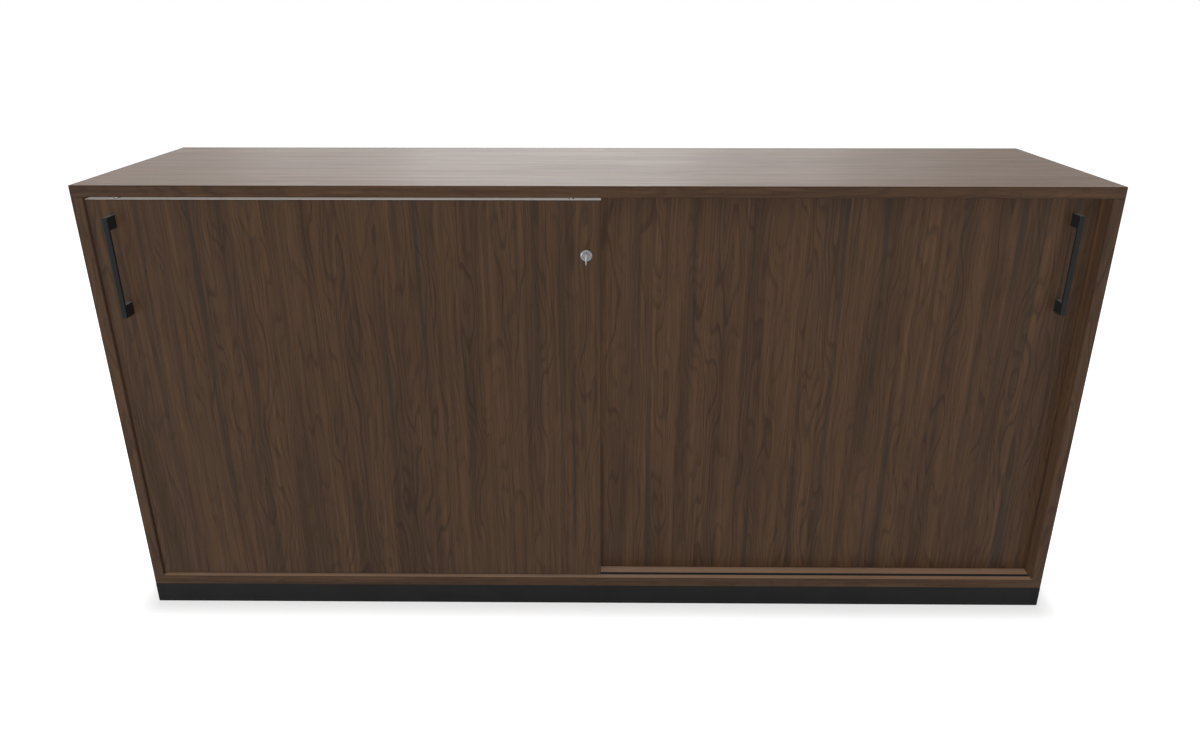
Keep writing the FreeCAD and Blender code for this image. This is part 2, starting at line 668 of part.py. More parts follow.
def door_panel(name, x, y):
    """A door with its pockets for rollers, guides and handle screws; its places run from the left edge."""
    piece = block(name, x, y, "door_bottom", "door_width", "door_board", "door_height")
    piece.fillet(piece.base, "edge_round", lies_in_front)
    middle = "door_board / 2"
    seat = piece.sketch("XY_Plane")
    flange = piece.sketch("XY_Plane")
    for centre in ("roller_inset", "door_width - roller_inset"):
        for sketch, long, wide in (
            (seat, "(housing_length + 2 * fit_gap)", "(housing_width + 2 * fit_gap)"),
            (flange, "(flange_length + 2 * fit_gap)", "(flange_width + 2 * fit_gap)"),
        ):
            rectangle(sketch, f"{centre} - {long} / 2", f"{middle} - {wide} / 2", long, wide)
    piece.pocket(seat, "housing_height + fit_gap", True)
    piece.pocket(flange, "flange_board + fit_gap", True)
    bores = piece.sketch("XY_Plane", "door_height")
    for centre in ("guide_inset", "door_width - guide_inset"):
        circle(bores, centre, middle, "sleeve_radius + running_gap")
    piece.pocket(bores, "sleeve_length + fit_gap")
    return piece


def bore_for_handle(piece, x):
    """Drill the door for its two handle screws."""
    holes = piece.sketch("XZ_Plane")
    for z in ("handle_post / 2", "handle_length - handle_post / 2"):
        circle(holes, x, f"handle_z - door_bottom + {z}", "screw_radius + shank_gap")
    piece.pocket(holes, "door_board")


def handle(name, x, y):
    """A flat bow handle on two posts that are as wide as its bar."""
    piece = Piece(name, x, y, "handle_z")
    side = piece.sketch("YZ_Plane")
    under = "(handle_bar - handle_reach)"
    polygon(
        side,
        [
            ("0", "0"),
            ("0 - handle_reach", "0"),
            ("0 - handle_reach", "handle_length"),
            ("0", "handle_length"),
            ("0", "handle_length - handle_post"),
            (under, "handle_length - handle_post"),
            (under, "handle_post"),
            ("0", "handle_post"),
        ],
    )
    bow = piece.pad(side, "handle_width", both_ways=True)
    front = number("0 - handle_reach")
    piece.fillet(bow, "handle_round", lambda middle: middle.y < front + NEAR)
    holes = piece.sketch("XZ_Plane")
    for z in ("handle_post / 2", "handle_length - handle_post / 2"):
        circle(holes, "0", z, "screw_radius + running_gap")
    piece.pocket(holes, "screw_bite + drill_room", True)


def handle_screw():
    """A pan-head screw, drawn with its tip upwards."""
    screw = Piece("one_handle_screw", node=False)
    screw.revolve(
        [
            ("0", "0 - head_height"),
            ("screw_head", "0 - head_height"),
            ("screw_head", "0"),
            ("screw_radius", "0"),
            ("screw_radius", "door_board + screw_bite"),
            ("0", "door_board + screw_bite"),
        ]
    )
    return screw


def roller_housing():
    """A moulded housing with its flange, a slot for the wheel and bearings for the stub axles."""
    housing = Piece("one_roller_housing", node=False)
    body = housing.sketch("XY_Plane")
    rectangle(body, "0 - housing_length / 2", "0 - housing_width / 2", "housing_length", "housing_width")
    housing.pad(body, "housing_height")
    flange = housing.sketch("XY_Plane")
    rectangle(flange, "0 - flange_length / 2", "0 - flange_width / 2", "flange_length", "flange_width")
    housing.pad(flange, "flange_board")
    slot = housing.sketch("XY_Plane")
    rectangle(slot, "0 - slot_length / 2", "0 - slot_gap / 2", "slot_length", "slot_gap")
    housing.pocket(slot, "slot_height", True)
    bearing = housing.sketch("XZ_Plane", "0 - housing_width / 2")
    circle(bearing, "0", "wheel_z - door_bottom", "axle_radius + running_gap")
    housing.pocket(bearing, "housing_width", True)
    return housing


def wheel(name, x, y):
    """A roller with its stub axles, lying along Y."""
    piece = Piece(name, x, y, "wheel_z", TO_FRONT)
    rim, axle = "wheel_width / 2", "axle_length / 2"
    upper = [("axle_radius", axle), ("axle_radius", rim), ("wheel_radius", rim)]
    lower = [(radius, f"0 - {level}") for radius, level in reversed(upper)]
    piece.revolve([("0", axle), *upper, *lower, ("0", f"0 - {axle}")])


def guide_sleeve():
    """A cup with a cap that keeps the pin in."""
    sleeve = Piece("one_guide_sleeve", node=False)
    sleeve.revolve(
        [
            ("0", "0 - sleeve_length"),
            ("sleeve_radius", "0 - sleeve_length"),
            ("sleeve_radius", "0"),
            ("tip_radius + running_gap", "0"),
            ("tip_radius + running_gap", "0 - sleeve_wall"),
            ("pin_radius + running_gap", "0 - sleeve_wall"),
            ("pin_radius + running_gap", "sleeve_wall - sleeve_length"),
            ("0", "sleeve_wall - sleeve_length"),
        ]
    )
    return sleeve


def guide_pin(name, x, y):
    """A pin whose tip runs in the guide track; its body is held under the sleeve's cap."""
    piece = Piece(name, x, y, "pin_bottom")
    shoulder = "pin_body - fit_gap"
    tip = "pin_body + sleeve_wall + tip_reach"
    piece.revolve(
        [
            ("0", "0"),
            ("pin_radius", "0"),
            ("pin_radius", shoulder),
            ("tip_radius", shoulder),
            ("tip_radius", tip),
            ("0", tip),
        ]
    )


def guide_spring(name, x, y):
    """A coil of wire between the sleeve's floor and the pin, ruled from section to section."""
    sides, steps_per_turn = 4, 6
    turns = int(number("spring_turns"))
    coil, wire = number("spring_radius"), number("wire_radius")
    low = number("spring_bottom + wire_radius + fit_gap")
    high = number("pin_bottom - wire_radius - fit_gap")
    sections = []
    steps = turns * steps_per_turn
    for step in range(steps + 1):
        angle = 2 * math.pi * step / steps_per_turn
        outward = FreeCAD.Vector(math.cos(angle), math.sin(angle), 0)
        centre = outward * coil + Z_AXIS * (low + (high - low) * step / steps)
        corners = []
        for side in range(sides):
            around = 2 * math.pi * side / sides
            corners.append(centre + outward * (wire * math.cos(around)) + Z_AXIS * (wire * math.sin(around)))
        sections.append(Part.makePolygon(corners + corners[:1]))
    feature = DOC.addObject("Part::Feature", name)
    feature.Label = name
    feature.Shape = Part.makeLoft(sections, True, True)
    put(feature, x, y)
    NODES[name] = feature


def running_gear(door, left_edge, track_y):
    """What carries and guides one door: two rollers at its foot and two sprung guides at its head."""
    roller_places, sleeve_places = [], []
    for side, roller_x, guide_x in (
        ("left", "roller_inset", "guide_inset"),
        ("right", "door_width - roller_inset", "door_width - guide_inset"),
    ):
        at_roller = f"{left_edge} + {roller_x}"
        at_guide = f"{left_edge} + {guide_x}"
        roller_places.append((at_roller, track_y, "door_bottom", UPRIGHT))
        sleeve_places.append((at_guide, track_y, "door_top", UPRIGHT))
        wheel(f"{door}_{side}_wheel", at_roller, track_y)
        guide_pin(f"{door}_{side}_guide_pin", at_guide, track_y)
        guide_spring(f"{door}_{side}_guide_spring", at_guide, track_y)
    return roller_places, sleeve_places


def doors():
    """Both doors with their handles and running gear, and the bores and recesses of the lock."""
    housing, sleeve, screw = roller_housing(), guide_sleeve(), handle_screw()
    front_left, rear_left = "0 - closed_edge", "0 - door_overlap / 2"
    front = door_panel("front_door_panel", front_left, "front_door_y")
    rear = door_panel("rear_door_panel", rear_left, "rear_door_y")
    for door, panel, left_edge, handle_place, y, track_y in (
        ("front", front, front_left, "0 - handle_x", "front_door_y", "front_track_y"),
        ("rear", rear, rear_left, "handle_x", "rear_door_y", "rear_track_y"),
    ):
        bore_for_handle(panel, f"{handle_place} - ({left_edge})")
        handle(f"{door}_handle", handle_place, y)
        heights = ("handle_z + handle_post / 2", "handle_z + handle_length - handle_post / 2")
        screw_places = [(handle_place, f"{y} + door_board", z, TO_FRONT) for z in heights]
        copies(f"{door}_handle_screws", screw, screw_places)
        rollers, sleeves = running_gear(door, left_edge, track_y)
        copies(f"{door}_roller_housings", housing, rollers)
        copies(f"{door}_guide_sleeves", sleeve, sleeves)
    bore = front.sketch("XZ_Plane")
    lock_place = ("lock_x - (0 - closed_edge)", "lock_z - door_bottom")
    circle(bore, *lock_place, "barrel_radius + fit_gap")
    front.pocket(bore, "door_board")
    recess = front.sketch("XZ_Plane", "0 - door_board")
    circle(recess, *lock_place, "nut_corner + nut_room")
    front.pocket(recess, "nut_recess", True)
    seat = rear.sketch("XZ_Plane")
    rectangle(seat, "0", "keeper_z - door_bottom", "keeper_width + fit_gap", "keeper_height")
    rear.pocket(seat, "keeper_board")
    pilots = rear.sketch("XZ_Plane")
    for z in KEEPER_ROWS:
        circle(pilots, "keeper_width - keeper_row", f"keeper_z - door_bottom + {z}", "small_radius + running_gap")
    rear.pocket(pilots, "small_length + drill_room")


# ---------------------------------------------------------------- lock

def lock():
    """Cylinder lock: housing, ring nut, turning core with its cam, and the key."""
    place = ("lock_x", "front_door_y", "lock_z", TO_FRONT)
    bore = "core_radius + running_gap"
    housing = Piece("lock_housing", *place)
    housing.revolve(
        [
            (bore, "rim_height"),
            ("rim_radius - rim_bevel", "rim_height"),
            ("rim_radius", "rim_height - rim_bevel"),
            ("rim_radius", "0"),
            ("barrel_radius", "0"),
            ("barrel_radius", "0 - door_board"),
            (bore, "0 - door_board"),
        ]
    )
    nut = Piece("lock_nut", *place)
    ring = nut.sketch("XY_Plane", "nut_recess - door_board")
    right = [("nut_corner / 2", "0 - nut_width / 2"), ("nut_corner", "0"), ("nut_corner / 2", "nut_width / 2")]
    left = [(f"0 - {x}", y) for x, y in reversed(right)]
    polygon(ring, right + left)
    circle(ring, "0", "0", "barrel_radius + running_gap")
    nut.pad(ring, "nut_board", backwards=True)

    core = Piece("lock_core", *place)
    plug = core.sketch("XY_Plane", "core_front")
    circle(plug, "0", "0", "core_radius")
    core.pad(plug, "core_front - cam_level", backwards=True)
    square = core.sketch("XY_Plane", "cam_level")
    rectangle(square, "0 - cam_square / 2", "0 - cam_square / 2", "cam_square", "cam_square")
    core.pad(square, "cam_board", backwards=True)
    keyway = core.sketch("XY_Plane", "core_front")
    half_slot = "(key_board / 2 + key_clearance)"
    half_key = "(key_height / 2 + key_clearance)"
    rectangle(keyway, f"0 - {half_slot}", f"0 - {half_key}", f"2 * {half_slot}", f"2 * {half_key}")
    core.pocket(keyway, "key_depth + drill_room")
    tapping = core.sketch("XY_Plane", "cam_level - cam_board")
    circle(tapping, "0", "0", "small_radius + running_gap")
    core.pocket(tapping, "cam_screw_length + drill_room", True)

    cam = Piece("lock_cam", *place)
    lever = cam.sketch("XY_Plane", "cam_level")
    obround(lever, "cam_half_width - cam_length", "0", "cam_half_width")
    cam.pad(lever, "cam_board", backwards=True)
    hole = cam.sketch("XY_Plane", "cam_level")
    half_hole = "(cam_square / 2 + running_gap)"
    rectangle(hole, f"0 - {half_hole}", f"0 - {half_hole}", f"2 * {half_hole}", f"2 * {half_hole}")
    cam.pocket(hole, "cam_board")

    screw = Piece("lock_cam_screw", *place)
    seat = "(cam_level - cam_board)"
    screw.revolve(
        [
            ("0", f"{seat} - small_head_height"),
            ("screw_head", f"{seat} - small_head_height"),
            ("screw_head", seat),
            ("small_radius", seat),
            ("small_radius", f"{seat} + cam_screw_length"),
            ("0", f"{seat} + cam_screw_length"),
        ]
    )

    key = Piece("key", *place)
    tip = "(core_front - key_depth)"
    half = "key_height / 2"
    outline = [(f"0 - {half}", f"{tip} + key_taper"), ("0", tip), (half, f"{tip} + key_taper")]
    for cut in range(1, KEY_CUTS + 1):
        start = f"{tip} + {cut} * cut_pitch"
        outline.append((half, start))
        outline.append((f"{half} - cut_depth", f"{start} + cut_depth"))
        outline.append((half, f"{start} + 2 * cut_depth"))
    shoulder = "bow_reach - bow_radius + blade_root"
    outline += [(half, shoulder), (f"0 - {half}", shoulder)]
    blade = key.sketch("YZ_Plane")
    polygon(blade, outline)
    key.pad(blade, "key_board", both_ways=True)
    bow = key.sketch("YZ_Plane")
    circle(bow, "0", "bow_reach", "bow_radius")
    circle(bow, "0", "bow_reach + bow_radius - 2 * bow_hole", "bow_hole")
    key.pad(bow, "bow_board", both_ways=True)


def keeper():
    """The plate let into the rear door, with the lip that the cam drops behind, and its screws."""
    piece = Piece("lock_keeper", "0 - door_overlap / 2", "rear_door_y", "keeper_z")
    plate = piece.sketch("XZ_Plane")
    rectangle(plate, "0", "0", "keeper_width", "keeper_height")
    for z in KEEPER_ROWS:
        circle(plate, "keeper_width - keeper_row", z, "small_radius + fit_gap")
    piece.pad(plate, "keeper_board", backwards=True)
    lip = piece.sketch("XZ_Plane")
    lip_z = "(lock_z - cam_length - keeper_z)"
    rectangle(lip, "0", lip_z, "keeper_board", "lip_height")
    piece.pad(lip, "door_spacing - lip_gap")
    screw = Piece("one_keeper_screw", node=False)
    screw.revolve(
        [
            ("0", "small_head_height"),
            ("small_head", "small_head_height"),
            ("small_head", "0"),
            ("small_radius", "0"),
            ("small_radius", "0 - small_length"),
            ("0", "0 - small_length"),
        ]
    )
    x = "0 - door_overlap / 2 + keeper_width - keeper_row"
    places = [(x, "rear_door_y", f"keeper_z + {z}", TO_FRONT) for z in KEEPER_ROWS]
    copies("keeper_screws", screw, places)


def check_and_export():
    """Refuse a failed feature or an invalid shape, then write one file for each node."""
    DOC.recompute()
    for thing in DOC.Objects:
        if {"Invalid", "Error"} & set(thing.State):
            raise RuntimeError(f"{thing.Label} failed: {thing.State}")
    for name, thing in NODES.items():
        if thing.Shape.isNull() or not thing.Shape.isValid() or not thing.Shape.Solids:
            raise RuntimeError(f"{name} has no valid solid")
    os.makedirs("parts", exist_ok=True)
    for name, thing in NODES.items():
        thing.Shape.exportStep(f"parts/{name}.step")
    print(len(NODES), "nodes,", sum(len(thing.Shape.Solids) for thing in NODES.values()), "solids")


fill_sheet()
top_panel()
bottom_panel()
side_panel("left_side_panel", -1)
side_panel("right_side_panel", 1)
centre_partition()
back_panel()
shelves()
cam_fittings()
tracks()
plinth()
feet()
doors()
lock()
keeper()
check_and_export()
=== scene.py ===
"""An office credenza in walnut laminate, for rendering: sliding doors, a cylinder lock and levelling feet."""

import logging
from dataclasses import dataclass, field, replace
from enum import Enum
from math import cos, pi, radians, sin

import bpy
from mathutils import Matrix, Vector


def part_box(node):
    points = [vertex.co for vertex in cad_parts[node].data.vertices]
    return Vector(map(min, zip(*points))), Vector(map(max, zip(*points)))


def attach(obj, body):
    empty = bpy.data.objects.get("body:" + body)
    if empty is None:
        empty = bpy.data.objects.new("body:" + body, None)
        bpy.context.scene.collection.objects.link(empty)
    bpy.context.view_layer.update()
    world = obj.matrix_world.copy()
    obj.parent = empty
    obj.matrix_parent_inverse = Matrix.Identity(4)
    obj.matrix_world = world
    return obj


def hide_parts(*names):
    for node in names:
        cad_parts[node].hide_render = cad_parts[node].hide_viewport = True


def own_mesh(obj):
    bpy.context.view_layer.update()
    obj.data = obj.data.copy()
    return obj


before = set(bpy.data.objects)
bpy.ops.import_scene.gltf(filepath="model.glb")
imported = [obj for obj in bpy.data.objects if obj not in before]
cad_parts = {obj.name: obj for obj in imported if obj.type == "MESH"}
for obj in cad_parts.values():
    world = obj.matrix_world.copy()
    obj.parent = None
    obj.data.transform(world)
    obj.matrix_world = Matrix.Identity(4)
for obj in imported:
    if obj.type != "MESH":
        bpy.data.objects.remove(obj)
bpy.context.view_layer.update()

Triple = tuple[float, float, float]
Colour = tuple[float, float, float, float]
Socket = bpy.types.NodeSocket
Piece = bpy.types.Object

LOG = logging.getLogger("credenza")
MM = 0.001
ORIGIN = (0.0, 0.0, 0.0)
UPRIGHT, SIDEWAYS_RIGHT, SIDEWAYS_LEFT = (0, 0, 0), (0, 90, 0), (0, -90, 0)
FACING_FRONT, FACING_BACK = (90, 0, 0), (-90, 0, 0)
SMOOTH_ANGLE = radians(28)
# A depth behind every board, so a painted sheen that stops there covers all upward faces.
SHEEN_EVERYWHERE = 10.0


def srgb(red: int, green: int, blue: int) -> Colour:
    """Turns a colour as a paint chart gives it, 0 to 255, into scene colour.

    Args:
        red: the red part.
        green: the green part.
        blue: the blue part.

    Returns:
        The colour with its alpha, as a colour socket takes it.
    """
    def linear(c: float) -> float:
        """One part of the colour, made linear."""
        return c / 12.92 if c <= 0.04045 else ((c + 0.055) / 1.055) ** 2.4
    return (*(linear(c / 255) for c in (red, green, blue)), 1.0)


def grey(level: int) -> Colour:
    """A grey as a paint chart gives it, 0 to 255."""
    return srgb(level, level, level)


class Wiring:
    """Adds the nodes of one node tree and joins them."""

    def __init__(self, tree: bpy.types.NodeTree) -> None:
        """Takes the tree, emptied."""
        self.tree = tree
        tree.nodes.clear()

    def add(self, kind: str, sockets: dict | None = None, **settings: object) -> bpy.types.Node:
        """Adds a node.

        Args:
            kind: the node's type, without its leading ShaderNode.
            sockets: a value or an output for each input, by name or number.
            settings: the node's own properties.

        Returns:
            The node.
        """
        node = self.tree.nodes.new(kind if kind.startswith("NodeGroup") else "ShaderNode" + kind)
        for name, value in settings.items():
            setattr(node, name, value)
        self.feed(node, sockets or {})
        return node

    def feed(self, node: bpy.types.Node, sockets: dict) -> None:
        """Gives a node's inputs what they take.

        Args:
            node: the node.
            sockets: a value or an output for each input, by name or number.
        """
        for name, value in sockets.items():
            if isinstance(value, bpy.types.NodeSocket):
                self.tree.links.new(value, node.inputs[name])
            else:
                node.inputs[name].default_value = value

    def sum(self, operation: str, *values: object, clamp: bool = False) -> Socket:
        """Works out one value from others, kept between 0 and 1 if it is clamped."""
        return self.add("Math", dict(enumerate(values)), operation=operation, use_clamp=clamp).outputs[0]

    def vector(self, operation: str, *values: object, output: str = "Vector") -> Socket:
        """Works out one vector from others, or their value."""
        return self.add("VectorMath", dict(enumerate(values)), operation=operation).outputs[output]

    def scaled(self, vector: Socket, scale: object) -> Socket:
        """A vector or a colour times a number."""
        return self.add("VectorMath", {0: vector, "Scale": scale}, operation="SCALE").outputs[0]

    def noise(self, place: Socket, **values: float) -> Socket:
        """A noise of one grain per unit, with the noise node's own values by name."""
        sockets = {name.title(): value for name, value in values.items()}
        return self.add("TexNoise", {"Vector": place, "Scale": 1.0, **sockets}).outputs["Fac"]

    def stretched(self, place: Socket, scale: Triple, **values: float) -> Socket:
        """A noise with the given number of grains per metre along each axis."""
        return self.noise(self.vector("MULTIPLY", place, scale), **values)

    def span(self, value: Socket, low: float, high: float, to_low: float = 0.0,
             to_high: float = 1.0) -> Socket:
        """Spreads the range of a value from low to high over another range, with soft ends."""
        sockets = {"Value": value, "From Min": low, "From Max": high, "To Min": to_low, "To Max": to_high}
        return self.add("MapRange", sockets, interpolation_type="SMOOTHSTEP").outputs["Result"]

    def blend(self, share: object, first: object, second: object) -> Socket:
        """Mixes a share of the second colour into the first."""
        return self.add("Mix", {0: share, 6: first, 7: second}, data_type="RGBA").outputs[2]

    def tint(self, colour: Socket, mask: Socket, share: float, other: Colour) -> Socket:
        """Lays a share of another colour over a colour, where the mask says."""
        return self.blend(self.sum("MULTIPLY", mask, share), colour, other)


def open_group(name: str, inputs: dict, outputs: tuple[str, ...]) -> tuple[Wiring, dict, bpy.types.Node]:
    """Starts a shader node group.

    Args:
        name: the group's name.
        inputs: each input's name with its value, a vector as three numbers.
        outputs: each output's name, all of them values.

    Returns:
        The wiring, the inputs by name and the node that takes the outputs.
    """
    tree = bpy.data.node_groups.new(name, "ShaderNodeTree")
    for label, value in inputs.items():
        kind = "NodeSocketVector" if isinstance(value, tuple) else "NodeSocketFloat"
        tree.interface.new_socket(name=label, in_out="INPUT", socket_type=kind).default_value = value
    for label in outputs:
        tree.interface.new_socket(name=label, in_out="OUTPUT", socket_type="NodeSocketFloat")
    wiring = Wiring(tree)
    start, end = wiring.add("NodeGroupInput"), wiring.add("NodeGroupOutput")
    return wiring, start.outputs, end


class Figure:
    """The layers of walnut's figure: their grains per metre across, along and through, ranges and shares."""

    DRIFT = (10.0, 1.2, 10.0)
    SWIRL = (42.0, 6.5, 42.0)
    RIPPLE, RIPPLE_SHARE = (80.0, 14.0, 80.0), 0.35
    VEIN_RISE, VEIN_FALL = (0.45, 0.85), (0.88, 1.0, 1.0, 0.0)
    VEIN_DEPTHS, VEIN_SHARE = (0.0, 1.0, 0.3, 1.0), 0.6
    BANDS, BAND_RANGE, BAND_SHARE = (30.0, 1.3, 30.0), (0.42, 0.7), 0.5
    BROAD_FIBRE, BROAD_SHARE = (150.0, 3.2, 150.0), 0.65
    FINE_FIBRE, FINE_SHARE = (700.0, 14.0, 700.0), 0.35
    FIBRE_RANGE = (0.27, 0.73)
    STREAKS, STREAK_RANGE = (60.0, 1.1, 60.0), (0.56, 0.74)
    PORES, PORE_RANGE = (1500.0, 75.0, 1500.0), (0.66, 0.74)
    PORE_PHASE = (0.3, 0.9, 0.25, 1.0)


def walnut_grain() -> bpy.types.NodeTree:
    """Walnut's figure: rings cut along the log, fibres, blue-grey streaks and pores. The grain runs along Y.

    Returns:
        The node group.
    """
    w, given, end = open_group(
        "walnut_grain", {"Vector": ORIGIN, "Ring Width": 0.008, "Drift": 3.0, "Swirl": 7.5},
        ("Figure", "Fibre", "Streak", "Pores"))
    place = given["Vector"]
    drift = w.stretched(place, Figure.DRIFT, detail=1.0)
    swirl = w.stretched(place, Figure.SWIRL, detail=0.5)
    ripple = w.stretched(place, Figure.RIPPLE, detail=1.0)
    across = w.add("SeparateXYZ", {0: place}).outputs["X"]
    rings = w.sum("DIVIDE", across, given["Ring Width"])
    for wander, share in ((drift, given["Drift"]), (swirl, given["Swirl"]), (ripple, Figure.RIPPLE_SHARE)):
        rings = w.sum("MULTIPLY_ADD", wander, share, rings)
    phase = w.sum("FRACT", rings)
    depth = w.add("TexWhiteNoise", {"W": w.sum("FLOOR", rings)}, noise_dimensions="1D").outputs["Value"]
    vein = w.sum("MULTIPLY", w.span(phase, *Figure.VEIN_RISE), w.span(phase, *Figure.VEIN_FALL))
    vein = w.sum("MULTIPLY", vein, w.span(depth, *Figure.VEIN_DEPTHS))
    vein = w.sum("MULTIPLY", vein, Figure.VEIN_SHARE)
    bands = w.span(w.stretched(place, Figure.BANDS, detail=2.0), *Figure.BAND_RANGE)
    broad = w.stretched(place, Figure.BROAD_FIBRE, detail=3.0, roughness=0.6)
    broad = w.sum("MULTIPLY", broad, Figure.BROAD_SHARE)
    fine = w.stretched(place, Figure.FINE_FIBRE, detail=2.0)
    fibre = w.sum("MULTIPLY_ADD", fine, Figure.FINE_SHARE, broad)
    streak = w.stretched(place, Figure.STREAKS, detail=2.0, distortion=0.3)
    pores = w.span(w.stretched(place, Figure.PORES, detail=0.0), *Figure.PORE_RANGE)
    w.feed(end, {
        "Figure": w.sum("MULTIPLY_ADD", bands, Figure.BAND_SHARE, vein, clamp=True),
        "Fibre": w.span(fibre, *Figure.FIBRE_RANGE),
        "Streak": w.span(streak, *Figure.STREAK_RANGE),
        "Pores": w.sum("MULTIPLY", pores, w.span(phase, *Figure.PORE_PHASE)),
    })
    return w.tree


def board_edges() -> bpy.types.NodeTree:
    """The edging of a board: a strip along each arris, and the thin joint beside it.

    Returns:
        The node group.
    """
    w, given, end = open_group(
        "board_edges", {"Vector": ORIGIN, "Low": ORIGIN, "High": (1.0, 1.0, 1.0), "Width": 0.0012},
        ("Strip", "Joint"))
    below = w.vector("SUBTRACT", given["Vector"], given["Low"])
    above = w.vector("SUBTRACT", given["High"], given["Vector"])
    x, y, z = w.add("SeparateXYZ", {0: w.vector("MINIMUM", below, above)}).outputs
    least = w.sum("MINIMUM", w.sum("MINIMUM", x, y), z)
    most = w.sum("MAXIMUM", w.sum("MAXIMUM", x, y), z)
    total = w.sum("ADD", w.sum("ADD", x, y), z)
    # On a face the least distance is nothing, and the next one says how near the face's own edge is.
    second = w.sum("SUBTRACT", w.sum("SUBTRACT", total, least), most)
    off = w.sum("ABSOLUTE", w.sum("SUBTRACT", second, given["Width"]))
    w.feed(end, {
        "Strip": w.sum("LESS_THAN", second, given["Width"]),
        "Joint": w.span(off, 0.0001, 0.0004, 1.0, 0.0),
    })
    return w.tree


def worn_edges() -> bpy.types.NodeTree:
    """The arrises of a piece, where a coating wears thin.

    Returns:
        The node group.
    """
    w, given, end = open_group(
        "worn_edges", {"Vector": ORIGIN, "Radius": 0.0006, "Break Up": 260.0}, ("Mask",))
    rounded = w.add("Bevel", {"Radius": given["Radius"]}, samples=4).outputs[0]
    flat = w.add("NewGeometry").outputs["Normal"]
    match = w.vector("DOT_PRODUCT", rounded, flat, output="Value")
    patches = w.noise(w.scaled(given["Vector"], given["Break Up"]), detail=3.0)
    edge, broken = w.span(match, 0.985, 0.9, 0.0, 1.0), w.span(patches, 0.35, 0.65, 0.25, 1.0)
    w.feed(end, {"Mask": w.sum("MULTIPLY", edge, broken)})
    return w.tree


def fine_surface() -> bpy.types.NodeTree:
    """A moulded, cast or coated surface seen close: soft patches, specks and a fine texture's height.

    Returns:
        The node group.
    """
    w, given, end = open_group(
        "fine_surface", {"Vector": ORIGIN, "Texture": 1800.0, "Patches": 18.0},
        ("Patches", "Specks", "Height"))
    texture = w.scaled(given["Vector"], given["Texture"])
    cells = w.add("TexVoronoi", {"Vector": texture, "Scale": 0.45}).outputs["Distance"]
    w.feed(end, {
        "Patches": w.noise(w.scaled(given["Vector"], given["Patches"]), detail=3.0),
        "Specks": w.span(cells, 0.0, 0.32, 1.0, 0.0),
        "Height": w.noise(texture, detail=1.0),
    })
    return w.tree


def painted_upward_sheen() -> bpy.types.NodeTree:
    """A painted sheen: a pale colour painted on faces that point upwards, for the light they catch, and only
    in front of the depth where it stops.

    Returns:
        The node group.
    """
    w, given, end = open_group("painted_upward_sheen", {"Vector": ORIGIN, "Sheen Stops At": SHEEN_EVERYWHERE}, ("Mask",))
    # The mask of a painted sheen: pale colour painted where faces point upwards, for the light they catch.
    upward = w.add("SeparateXYZ", {0: w.add("NewGeometry").outputs["True Normal"]}).outputs["Z"]
    drifts = w.stretched(given["Vector"], (9.0, 9.0, 9.0), detail=3.0)
    mask = w.sum("MULTIPLY", w.span(upward, 0.6, 0.95), w.span(drifts, 0.25, 0.75, 0.8, 1.0))
    depth = w.add("SeparateXYZ", {0: given["Vector"]}).outputs["Y"]
    w.feed(end, {"Mask": w.sum("MULTIPLY", mask, w.sum("LESS_THAN", depth, given["Sheen Stops At"]))})
    return w.tree


class Groups:
    """The shader node groups, each built once."""

    def __init__(self) -> None:
        """Builds them."""
        self.grain = walnut_grain()
        self.edges = board_edges()
        self.worn = worn_edges()
        self.fine = fine_surface()
        self.painted_sheen = painted_upward_sheen()


GROUPS = Groups()


def new_material(name: str) -> tuple[Wiring, bpy.types.Material, bpy.types.Node, Socket]:
    """Starts a material.

    Args:
        name: its name.

    Returns:
        Its wiring, the material, its Principled node and the place on the surface in metres.
    """
    material = bpy.data.materials.new(name)
    material.use_nodes = True
    wiring = Wiring(material.node_tree)
    shader = wiring.add("BsdfPrincipled")
    wiring.add("OutputMaterial", {"Surface": shader.outputs[0]})
    return wiring, material, shader, wiring.add("TexCoord").outputs["Object"]


class Grain(Enum):
    """Which way a board's grain runs: the turn for its faces, the turn for its ends and the ends' axis."""

    UPRIGHT_FRONT = ((-90, 0, 0), (0, 0, 90), 2)
    UPRIGHT_SIDE = ((-90, -90, 0), (0, 0, 0), 2)
    LENGTHWISE = ((0, 0, 90), (0, 90, 0), 0)


@dataclass(frozen=True)
class Board:
    """How a board is cut from the wood and finished.

    Its shift is where in the wood it is cut and its ring the width of a growth ring, both in metres. A
    painted sheen, pale colour painted on its upward faces, stops at the given depth, and a painted top
    highlight is pale colour painted on its upper edge.
    """

    grain: Grain
    shift: Triple
    tone: float = 1.0
    ring: float = 0.009
    painted_sheen: float = 0.0
    sheen_stops_at: float = SHEEN_EVERYWHERE
    painted_top_highlight: bool = False


